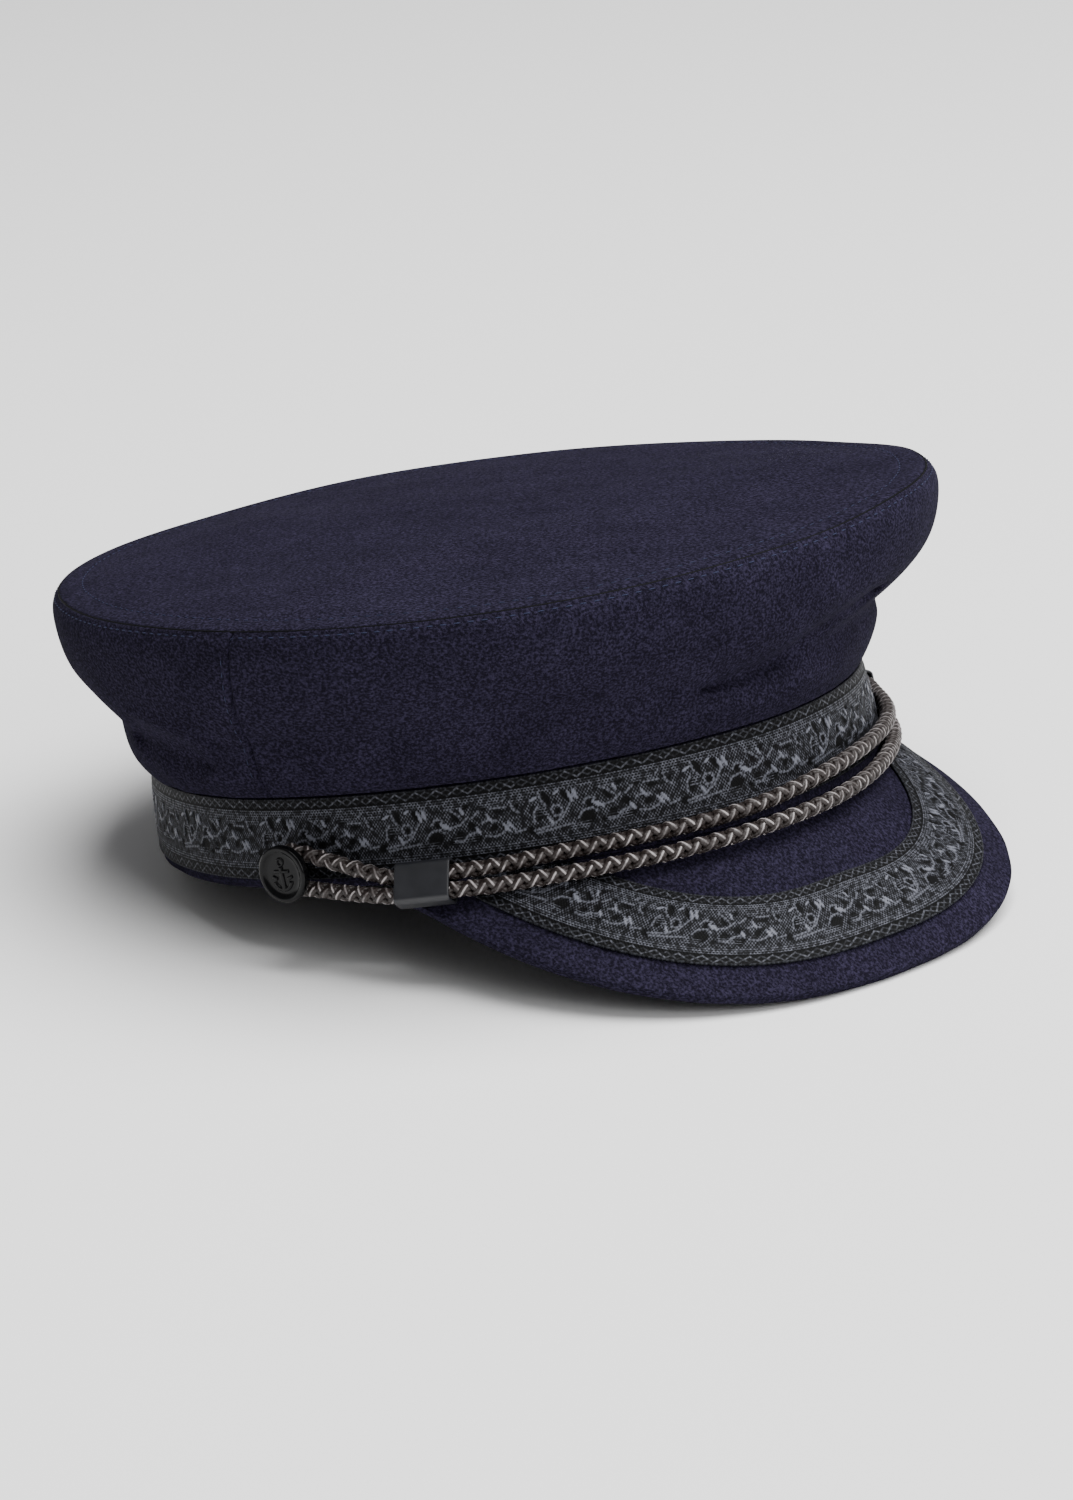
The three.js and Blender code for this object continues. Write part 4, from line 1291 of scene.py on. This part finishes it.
def woven_rayon(tree):
    """Figured braid woven on a jacquard loom from bright rayon on a dull ground: a ground of fine
    dots, matte leaves set lower, shiny floats, rib lines, and a dark border with a zigzag. The pale
    grey of dots, floats, rib lines and zigzag is partly painted highlight, standing for the rayon's
    glints."""
    _, trim, colours = settings()
    border = trim.border_width
    place = add_node(tree, "UVMap", {}, uv_map="UVMap")["UV"]
    u, v, _ = add_node(tree, "SeparateXYZ", {"Vector": place})
    leaf, satin, lines = (
        add_node(tree, "Attribute", {}, attribute_name=name)["Fac"]
        for name in ("leaf", "satin", "lines")
    )
    other = add_node(tree, "Math", {0: trim.braid_width, 1: v}, operation="SUBTRACT")
    edge = add_node(tree, "Math", {0: v, 1: other[0]}, operation="MINIMUM")[0]
    yarn = add_node(tree, "TexNoise", {
        "Vector": place, "Scale": 1 / (1.3 * MM), "Detail": 2}, noise_dimensions="2D")["Fac"]
    # Waves: the ground's dots are woven 0.8 mm apart along the braid and 0.55 mm across it, rib
    # lines lie 0.62 mm apart from the border inwards, and the picks along them 1.05 mm apart
    waves = []
    for value, pitch, start in ((u, 0.8 * MM, 0), (v, 1.1 * MM, 0),
                                (edge, trim.rib_pitch, border), (u, 1.05 * MM, 0)):
        step = 2 * math.pi / pitch
        turned = add_node(tree, "Math", {0: value, 1: step, 2: -step * start},
                          operation="MULTIPLY_ADD")
        waves.append(add_node(tree, "Math", {0: turned[0]}, operation="SINE")[0])
    dots = add_node(tree, "Math", {0: waves[0], 1: waves[1]}, operation="MULTIPLY")[0]
    ribs_end = border + 3 * trim.rib_pitch
    # Each row takes one value from a range to the share of bright thread that it shows
    shares = []
    for value, low, high, start, end in (
            (dots, -0.35, 0.8, 0, 1), (yarn, 0.38, 0.64, 0.04, 0.58), (waves[2], 0.2, 0.9, 0, 0.6),
            (waves[3], -1, 1, 0.45, 1), (yarn, 0.38, 0.58, 0.2, 1),
            (edge, border - 0.1 * MM, border + 0.1 * MM, 1, 0),
            (edge, ribs_end - 0.1 * MM, ribs_end + 0.1 * MM, 1, 0), (satin, 0.34, 1, 0, 0.85)):
        shares.append(add_node(tree, "MapRange", {
            "Value": value, "From Min": low, "From Max": high, "To Min": start,
            "To Max": end})["Result"])
    dotted, grained, ribbed, picked, worn, bordered, lined, raised = shares
    grain = add_node(tree, "Math", {0: dotted, 1: grained}, operation="MULTIPLY")
    near = add_node(tree, "Math", {0: lined, 1: bordered}, operation="SUBTRACT")
    where = add_node(tree, "Math", {0: near[0], 1: lines}, operation="MAXIMUM")
    ribs = add_node(tree, "Math", {0: ribbed, 1: where[0]}, operation="MULTIPLY")
    # The border's zigzag, its fainter mirror image and the cord of the selvedge
    fold = add_node(tree, "Math", {0: u, 1: 2.65 * MM}, operation="PINGPONG")
    bright = ribs[0]
    for slope, start, shown in (
            (0.62, 0.55 * MM, 0.5), (-0.62, 2.2 * MM, 0.22), (0, 0.12 * MM, 0.22)):
        line = add_node(tree, "Math", {0: fold[0], 1: slope, 2: start}, operation="MULTIPLY_ADD")
        apart = add_node(tree, "Math", {0: edge, 1: line[0]}, operation="SUBTRACT")
        off = add_node(tree, "Math", {0: apart[0]}, operation="ABSOLUTE")
        lace = add_node(tree, "MapRange", {
            "Value": off[0], "From Min": 0.12 * MM, "From Max": 0.34 * MM,
            "To Min": shown, "To Max": 0})
        bright = add_node(tree, "Math", {0: bright, 1: lace["Result"]}, operation="MAXIMUM")[0]
    for value in (picked, worn):
        bright = add_node(tree, "Math", {0: bright, 1: value}, operation="MULTIPLY")[0]
    shiny = add_node(tree, "Math", {0: bright, 1: raised}, operation="MAXIMUM")[0]
    # Colour: dull ground under its dots, black leaves and border, then the bright threads; the pale
    # grey of dots and bright threads is painted highlight for the rayon's glints
    dull = add_node(tree, "Math", {0: leaf, 1: bordered}, operation="MAXIMUM")
    colour = linear(colours.braid)
    for amount, thread in ((grain[0], colours.braid_satin),
                           (dull[0], colours.braid_leaf), (shiny, colours.braid_satin)):
        colour = add_node(tree, "Mix", {
            "Factor": amount, "A": colour, "B": linear(thread)}, data_type="RGBA")["Result"]
    matte = add_node(tree, "MapRange", {
        "Value": shiny, "From Min": 0, "From Max": 0.7, "To Min": 0.7, "To Max": 0.3})
    relief = add_node(tree, "Math", {0: dots, 1: 0.4, 2: shiny}, operation="MULTIPLY_ADD")
    bump = add_node(tree, "Bump", {"Height": relief[0], "Strength": 0.7, "Distance": 0.14 * MM})
    return add_node(tree, "BsdfPrincipled", {
        "Base Color": colour, "Roughness": matte["Result"], "IOR": 1.5,
        "Specular IOR Level": 0.1, "Normal": bump["Normal"]})


def plaited_yarn(tree):
    """Plaited viscose yarn, dyed near black: soft dark ropes whose crests show short pale strokes,
    a painted highlight along each strand."""
    _, _, colours = settings()
    crest = add_node(tree, "Attribute", {}, attribute_name="crest")["Fac"]
    run = add_node(tree, "Attribute", {}, attribute_name="run")["Fac"]
    place = add_node(tree, "TexCoord", {})["Object"]
    # The painted crest highlight comes and goes every 3 mm, and the strands' twist has a 0.7 mm pitch
    breaks = add_node(tree, "TexNoise", {"Vector": place, "Scale": 1 / (3 * MM), "Detail": 2})
    shown = add_node(tree, "MapRange", {
        "Value": breaks["Fac"], "From Min": 0.4, "From Max": 0.58, "To Min": 0.2, "To Max": 1})
    line = add_node(tree, "MapRange", {
        "Value": crest, "From Min": 0.34, "From Max": 0.76, "To Min": 0, "To Max": 0.9})
    amount = add_node(tree, "Math", {0: line["Result"], 1: shown["Result"]}, operation="MULTIPLY")
    colour = add_node(tree, "Mix", {
        "Factor": amount["Value"], "A": linear(colours.cord),
        "B": linear(colours.cord_light)}, data_type="RGBA")
    turns = add_node(tree, "Math", {0: run, 1: 2 * math.pi / (0.7 * MM)}, operation="MULTIPLY")
    twist = add_node(tree, "Math", {0: turns["Value"]}, operation="SINE")
    bump = add_node(tree, "Bump", {
        "Height": twist["Value"], "Strength": 0.5, "Distance": 0.06 * MM})
    return add_node(tree, "BsdfPrincipled", {
        "Base Color": colour["Result"], "Roughness": 0.5, "IOR": 1.5,
        "Specular IOR Level": 0.45, "Normal": bump["Normal"]})


def sewing_thread(tree):
    """Spun polyester thread, a little lighter and bluer than the cloth that it sews, and near black
    on the tube in the edge seam's groove, where the dark is a painted seam shadow."""
    _, _, colours = settings()
    place = add_node(tree, "TexCoord", {})["Object"]
    ply = add_node(tree, "TexNoise", {"Vector": place, "Scale": 1 / (0.3 * MM), "Detail": 2})
    # The ply noise darkens the thread to 0.45 of its colour where the bump sinks it: painted shade in
    # the ply's hollows
    lit = linear(colours.thread)
    thread = add_node(tree, "Mix", {
        "Factor": ply["Fac"], "A": scaled(lit, 0.45), "B": lit}, data_type="RGBA")
    # 1 on the tube in the edge seam's groove, whose near-black colour is painted shadow
    sunk = add_node(tree, "Attribute", {}, attribute_name="sunk")["Fac"]
    colour = add_node(tree, "Mix", {
        "Factor": sunk, "A": thread["Result"],
        "B": linear(colours.thread_sunk)}, data_type="RGBA")
    bump = add_node(tree, "Bump", {"Height": ply["Fac"], "Strength": 0.4, "Distance": 0.05 * MM})
    return add_node(tree, "BsdfPrincipled", {
        "Base Color": colour["Result"], "Roughness": 0.7, "Specular IOR Level": 0.1,
        "Normal": bump["Normal"]})


def moulded(tree, patches, relief, colours, roughness, shader):
    """A moulded surface whose colour and shine change in patches, with a low relief. Patches are
    given as size in mm, detail and roughness of their noise and the part of it that counts, and
    the relief as size in mm, detail, strength and height in mm. Colours and roughness are pairs,
    and shader holds the shader's remaining inputs."""
    place = add_node(tree, "TexCoord", {})["Object"]
    size, detail, harshness, low, high = patches
    patch = add_node(tree, "TexNoise", {
        "Vector": place, "Scale": 1 / (size * MM), "Detail": detail,
        "Roughness": harshness})["Fac"]
    size, detail, strength, height = relief
    grain = add_node(tree, "TexNoise", {
        "Vector": place, "Scale": 1 / (size * MM), "Detail": detail})
    shine = add_node(tree, "MapRange", {
        "Value": patch, "From Min": low, "From Max": high,
        "To Min": roughness[0], "To Max": roughness[1]})
    colour = add_node(tree, "Mix", {
        "Factor": patch, "A": colours[0], "B": colours[1]}, data_type="RGBA")
    bump = add_node(tree, "Bump", {
        "Height": grain["Fac"], "Strength": strength, "Distance": height * MM})
    return add_node(tree, "BsdfPrincipled", {
        "Base Color": colour["Result"], "Roughness": shine["Result"],
        "Normal": bump["Normal"], **shader})


def satin_nylon(tree):
    """Moulded nylon with a satin skin: an even soft shine with a faint grain from the mould,
    duller in patches where it is handled."""
    _, _, colours = settings()
    base = linear(colours.keeper)
    handled = (4, 2, 0.5, 0.3, 0.7)
    grain = (0.4, 3, 0.15, 0.04)
    return moulded(tree, handled, grain, (scaled(base, 0.75), base), (0.42, 0.56), {"IOR": 1.53})


def polished_casein(tree):
    """A button of dark casein plastic, pressed and tumbled: glossy, with slight ripples and
    fine scuffs."""
    _, _, colours = settings()
    base = linear(colours.button)
    scuffs = (0.9, 4, 0.7, 0.4, 0.75)
    waves = (2.2, 2, 0.25, 0.12)
    return moulded(tree, scuffs, waves, (base, scaled(base, 1.6)), (0.14, 0.32),
                   {"IOR": 1.55, "Specular IOR Level": 0.13})


def studio_paper(tree):
    """Matte white background paper."""
    _, _, colours = settings()
    place = add_node(tree, "TexCoord", {})["Object"]
    grain = add_node(tree, "TexNoise", {"Vector": place, "Scale": 1 / (3 * MM), "Detail": 2})
    bump = add_node(tree, "Bump", {"Height": grain["Fac"], "Strength": 0.05, "Distance": 0.1 * MM})
    return add_node(tree, "BsdfPrincipled", {
        "Base Color": linear(colours.floor), "Roughness": 0.9, "Normal": bump["Normal"]})


# Camera and light

# The photograph's camera, fitted to the cap's outline: its direction and roll, its distance in
# metres, the picture's scale at the cap and the pixel where the head opening's middle falls
VIEW_AZIMUTH = math.radians(-37.915)
VIEW_ELEVATION = math.radians(18.325)
VIEW_ROLL = math.radians(5.034)
VIEW_DISTANCE = 1.4
PHOTO_WIDTH, PHOTO_HEIGHT = 1073, 1500
PIXELS_PER_METRE = 3970
ORIGIN_PIXEL = (517.76, 792.31)

# Softboxes: name, place and side in metres, power in watts
SOFTBOXES = (("overhead", (0.5, -0.5, 2.2), 2.2, 138), ("front", (-0.2, -1.9, 1.0), 1.1, 21))
SOFTBOX_TARGET = Vector((0, 0, 0.05))
ROOM_LIGHT = 0.2


def view_axes():
    """The camera's right, up and backward directions."""
    back = Vector((
        math.sin(VIEW_AZIMUTH) * math.cos(VIEW_ELEVATION),
        -math.cos(VIEW_AZIMUTH) * math.cos(VIEW_ELEVATION),
        math.sin(VIEW_ELEVATION),
    ))
    level = Vector((math.cos(VIEW_AZIMUTH), math.sin(VIEW_AZIMUTH), 0))
    upright = back.cross(level)
    right = level * math.cos(VIEW_ROLL) - upright * math.sin(VIEW_ROLL)
    return right, back.cross(right), back


def add_camera():
    """The camera, aimed at the middle of the head opening from the photograph's angle."""
    right, up, back = view_axes()
    data = bpy.data.cameras.new("camera")
    data.sensor_fit = "VERTICAL"
    data.sensor_height = 36
    data.lens = 36 * PIXELS_PER_METRE * VIEW_DISTANCE / PHOTO_HEIGHT
    data.shift_x = (PHOTO_WIDTH / 2 - ORIGIN_PIXEL[0]) / PHOTO_HEIGHT
    data.shift_y = (ORIGIN_PIXEL[1] - PHOTO_HEIGHT / 2) / PHOTO_HEIGHT
    data.clip_start = 0.05
    data.clip_end = 50
    camera = in_scene("camera", data)
    turned = Matrix((right, up, back)).transposed().to_4x4()
    target = cap_frame().to_translation()
    camera.matrix_world = Matrix.Translation(target + back * VIEW_DISTANCE) @ turned
    bpy.context.scene.camera = camera


def add_softbox(name, place, size, power):
    """A square softbox aimed at the cap."""
    data = bpy.data.lights.new(name, "AREA")
    data.shape = "SQUARE"
    data.size = size
    data.energy = power
    turned = (Vector(place) - SOFTBOX_TARGET).to_track_quat("Z", "Y").to_matrix().to_4x4()
    in_scene(name, data).matrix_world = Matrix.Translation(place) @ turned


def light_room():
    """Even white light from all around."""
    world = bpy.data.worlds.new("studio")
    world.use_nodes = True
    background = world.node_tree.nodes["Background"]
    background.inputs["Color"].default_value = (1, 1, 1, 1)
    background.inputs["Strength"].default_value = ROOM_LIGHT
    bpy.context.scene.world = world


# Operators, one for each piece or group of like pieces

class CrownOperator(bpy.types.Operator):
    """Adds the crown: its oval top and its two side panels"""

    bl_idname = "cap.crown"
    bl_label = "Crown"

    def execute(self, context):
        wool = finish_of(melton_cloth)
        top = crown_cover(cloth_copy("crown_top_cloth", "crown_top", 3, 0.75))
        dressed(top, wool, "melton_wool", "crown_top")
        for panel, way in (("front", 1), ("back", -1)):
            node = "crown_side_" + panel
            side = crown_side(cloth_copy("crown_" + panel + "_cloth", node, 3, 0.75), way)
            dressed(side, wool, "melton_wool", node)
        return {"FINISHED"}


class BandOperator(bpy.types.Operator):
    """Adds the cloth band and the woven braid around it"""

    bl_idname = "cap.band"
    bl_label = "Band"

    def execute(self, context):
        band = uneven(cloth_copy("head_band_cloth", "head_band", 2, 0.8), BAND_UNEVENNESS)
        dressed(band, finish_of(melton_cloth), "melton_wool", "head_band")
        dressed(band_braid(), finish_of(woven_rayon), "woven_braid", "band_braid")
        return {"FINISHED"}


class PeakOperator(bpy.types.Operator):
    """Adds the cloth peak and the woven braid along its edge"""

    bl_idname = "cap.peak"
    bl_label = "Peak"

    def execute(self, context):
        peak = sewn_under(uneven(cloth_copy("peak_cloth", "peak", 3, 0.5), PEAK_UNEVENNESS))
        dressed(peak, finish_of(melton_cloth), "melton_wool", "peak")
        dressed(peak_braid(), finish_of(woven_rayon), "woven_braid", "peak_braid")
        return {"FINISHED"}


class StitchOperator(bpy.types.Operator):
    """Adds the topstitching along the crown's seams"""

    bl_idname = "cap.stitches"
    bl_label = "Stitches"

    def execute(self, context):
        cap, trim, _ = settings()
        graph = context.evaluated_depsgraph_get()
        panels = {name: bpy.data.objects[name] for name in
                  ("crown_top_cloth", "crown_front_cloth", "crown_back_cloth")}
        trees = {name: BVHTree.FromObject(panel, graph) for name, panel in panels.items()}
        angle = np.linspace(-math.pi, math.pi, 3000, endpoint=False)
        seam, out = seam_point(angle), outward(angle)
        top_line = placed(seam - out * trim.top_row + np.array([0, 0, 1 * MM]))
        matrices = stitches_along(top_line, True, trees["crown_top_cloth"])
        side_line = seam + out * 1.2 * MM - np.array([0, 0, trim.side_row])
        clear = math.radians(0.8)
        fronts = np.abs(angle) < cap.side_seam - clear
        rears = np.abs(angle) > cap.side_seam + clear
        matrices += stitches_along(placed(side_line[fronts]), False, trees["crown_front_cloth"])
        rear_line = np.concatenate([side_line[rears & (angle > 0)], side_line[rears & (angle < 0)]])
        matrices += stitches_along(placed(rear_line), False, trees["crown_back_cloth"])
        for side in (-1, 1):
            matrices += self.down_the_side(side, panels, trees)
        stitches = repeated("crown_stitches", stitch_model(), matrices)
        # The stitches take none of the painted seam shadow; the tube joined to them below takes all of
        # it
        point_attribute(stitches, "sunk", np.zeros(len(stitches.data.vertices)))
        joined(stitches, [self.sunk_line(seam)])
        dressed(stitches, finish_of(sewing_thread), "melton_wool")
        return {"FINISHED"}

    def sunk_line(self, seam):
        """The seam's own tight thread, deep in the groove around the top, coloured near black as a
        painted shadow of the seam.
        """
        ring, _ = evenly_spaced(seam, 0.8 * MM)
        sides, radius, inwards, down = 6, 0.32 * MM, 0.4 * MM, 0.42 * MM
        ahead = unit(steps_round(ring))
        out = unit(np.cross(ahead, np.array([0, 0, 1])))
        around = 2 * np.pi * np.arange(sides) / sides
        c, s = np.cos(around)[None, :, None], np.sin(around)[None, :, None]
        across = out[:, None] * c + np.cross(out, ahead)[:, None] * s
        middle = ring - out * inwards - np.array([0, 0, down])
        places = placed((middle[:, None] + radius * across).reshape(-1, 3))
        piece = mesh_piece("sunk_line", places, tube_faces(len(ring), sides).tolist())
        point_attribute(piece, "sunk", np.ones(len(places)))
        return faces_outwards(piece)

    def down_the_side(self, side, panels, trees):
        """Placements of the one row of stitches behind a side seam."""
        cap, trim, _ = settings()
        places = panel_end(panels["crown_front_cloth"], side)
        out = outward(side * cap.side_seam)
        clear, reach = 4 * MM, 1.2 * MM
        line = []
        for level in np.linspace(places[:, 2].min() + clear, places[:, 2].max() - clear, 24):
            near = places[np.abs(places[:, 2] - level) < reach]
            line.append(near[np.argmax(near @ out)])
        row = placed(np.array(line) + leftward(out) * side * trim.seam_row)
        return stitches_along(row, False, trees["crown_back_cloth"])


class CordOperator(bpy.types.Operator):
    """Adds the plaited chin cord"""

    bl_idname = "cap.cord"
    bl_label = "Chin cord"

    def execute(self, context):
        dressed(plaited_cord(), finish_of(plaited_yarn), "braided_cord", "chin_cord")
        return {"FINISHED"}


class FittingsOperator(bpy.types.Operator):
    """Adds the keepers and the side buttons"""

    bl_idname = "cap.fittings"
    bl_label = "Keepers and buttons"

    def execute(self, context):
        for side in ("right", "left"):
            dressed(keeper_sleeve(side), finish_of(satin_nylon), "keeper_plastic", "keeper_" + side)
            dressed(shank_button(side), finish_of(polished_casein), "button_plastic", "button_" + side)
        return {"FINISHED"}


class StageOperator(bpy.types.Operator):
    """Adds the floor, the studio light and the camera"""

    bl_idname = "cap.stage"
    bl_label = "Stage"

    def execute(self, context):
        add_camera()
        bpy.ops.object.select_all(action="DESELECT")
        bpy.ops.mesh.primitive_plane_add(size=24)
        floor = added("floor")
        floor.data.materials.append(finish_of(studio_paper))
        floor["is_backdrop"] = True
        light_room()
        for softbox in SOFTBOXES:
            add_softbox(*softbox)
        return {"FINISHED"}


class CapPanel(bpy.types.Panel):
    """Lists the cap's pieces and sizes in the sidebar"""

    bl_idname = "VIEW3D_PT_fisherman_cap"
    bl_label = "Fisherman cap"
    bl_space_type = "VIEW_3D"
    bl_region_type = "UI"
    bl_category = "Cap"

    def draw(self, context):
        for operator in OPERATORS:
            self.layout.operator(operator.bl_idname)
        for group in settings():
            box = self.layout.box()
            for name in group.__annotations__:
                box.prop(group, name)


GROUPS = (("cap_sizes", CapSizes), ("trim_sizes", TrimSizes), ("cap_colours", CapColours))
OPERATORS = (StageOperator, CrownOperator, BandOperator, PeakOperator, StitchOperator,
             CordOperator, FittingsOperator)


def register():
    """Adds the settings, the operators and the panel to Blender."""
    for name, group in GROUPS:
        bpy.utils.register_class(group)
        setattr(bpy.types.Scene, name, PointerProperty(type=group))
    for kind in OPERATORS + (CapPanel,):
        bpy.utils.register_class(kind)


def unregister():
    """Takes them away again."""
    for kind in (CapPanel,) + OPERATORS[::-1]:
        bpy.utils.unregister_class(kind)
    for name, group in GROUPS[::-1]:
        delattr(bpy.types.Scene, name)
        bpy.utils.unregister_class(group)


def corners():
    """The whole object's lowest and highest corners as plain lists."""
    return [[float(value) for value in corner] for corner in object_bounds()]


def main():
    """Builds the whole cap."""
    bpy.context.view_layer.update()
    register()
    bpy.ops.cap.stage()
    bpy.ops.cap.crown()
    bpy.ops.cap.band()
    bpy.ops.cap.peak()
    bpy.ops.cap.stitches()
    bpy.ops.cap.cord()
    bpy.ops.cap.fittings()


if __name__ == "__main__":
    main()
